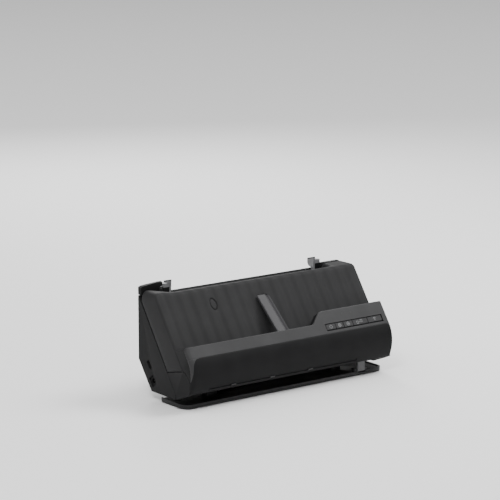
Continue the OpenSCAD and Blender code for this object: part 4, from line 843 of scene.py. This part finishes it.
# floor, light and camera
studio = {
    "floor": 14.0, "world": 0.6,  # m, strength
    "pixels": 500, "sensor": 36.0, "focal": 2158.4,  # focal in pixels
    "distance": 2535.6, "aimZ": 60.0, "sideways": -19.8, "up": 98.2,  # mm
    "yaw": 37.29, "pitch": 11.59,  # degrees
    # place, aim and size in m, then power in W
    "keyBox": ((0.95, -0.35, 1.35), (0, 0, 0.06), (0.7, 0.7), 20),
    "leftBox": ((-0.95, -0.75, 1.3), (-0.1, 0, 0.08), (0.4, 0.4), 10),
    "backBox": ((0.75, 1.5, 0.95), (-0.05, 0, 0.1), (0.6, 0.6), 14),
    "topBox": ((0, 0.6, 3.2), (0, 0.6, 0), (7.0, 7.0), 120),
}

floorMesh = bpy.data.meshes.new("floor")
h = studio["floor"]/2
floorMesh.from_pydata([(-h, -h, 0), (h, -h, 0), (h, h, 0), (-h, h, 0)], [], [(0, 1, 2, 3)])
floorObj = bpy.data.objects.new("floor", floorMesh)
bpy.context.scene.collection.objects.link(floorObj)
floorMat, _, _, floorShader = newMaterial("paleFloor")
floorShader.inputs["Base Color"].default_value = (0.9, 0.9, 0.9, 1)
floorShader.inputs["Roughness"].default_value = 0.9
floorShader.inputs["Specular IOR Level"].default_value = 0.1
floorMesh.materials.append(floorMat)

world = bpy.data.worlds.new("softRoom")
bpy.context.scene.world = world
world.use_nodes = True
world.node_tree.nodes["Background"].inputs["Color"].default_value = (1, 1, 1, 1)
world.node_tree.nodes["Background"].inputs["Strength"].default_value = studio["world"]


def softBox(name, place, aim, size, power):
    # a rectangular light at place, turned to shine at aim
    light = bpy.data.lights.new(name, "AREA")
    light.shape, light.size, light.size_y, light.energy = "RECTANGLE", size[0], size[1], power
    obj = bpy.data.objects.new(name, light)
    direction = np.array(aim, float) - np.array(place, float)
    obj.location = place
    obj.rotation_euler = Vector(direction).to_track_quat("-Z", "Y").to_euler()
    bpy.context.scene.collection.objects.link(obj)


for name in ("keyBox", "leftBox", "backBox", "topBox"):
    softBox(name, *studio[name])

cam = bpy.data.cameras.new("photoCamera")
camObj = bpy.data.objects.new("photoCamera", cam)
bpy.context.scene.collection.objects.link(camObj)
yaw, pitch = math.radians(studio["yaw"]), math.radians(studio["pitch"])
right = np.array([math.cos(yaw), -math.sin(yaw), 0])
upward = np.array([math.sin(yaw)*math.sin(pitch), math.cos(yaw)*math.sin(pitch), math.cos(pitch)])
ahead = np.array([math.sin(yaw)*math.cos(pitch), math.cos(yaw)*math.cos(pitch), -math.sin(pitch)])
place = np.array([0, 0, studio["aimZ"]]) - ahead*studio["distance"]
place = (place + right*studio["sideways"] + upward*studio["up"])*mm
axes = [[right[i], upward[i], -ahead[i], place[i]] for i in range(3)]
camObj.matrix_world = Matrix(axes + [[0, 0, 0, 1]])
cam.sensor_width = studio["sensor"]
cam.lens = studio["focal"]/studio["pixels"]*studio["sensor"]
cam.clip_start, cam.clip_end = 0.1, 30
bpy.context.scene.camera = camObj
print("studio ready")
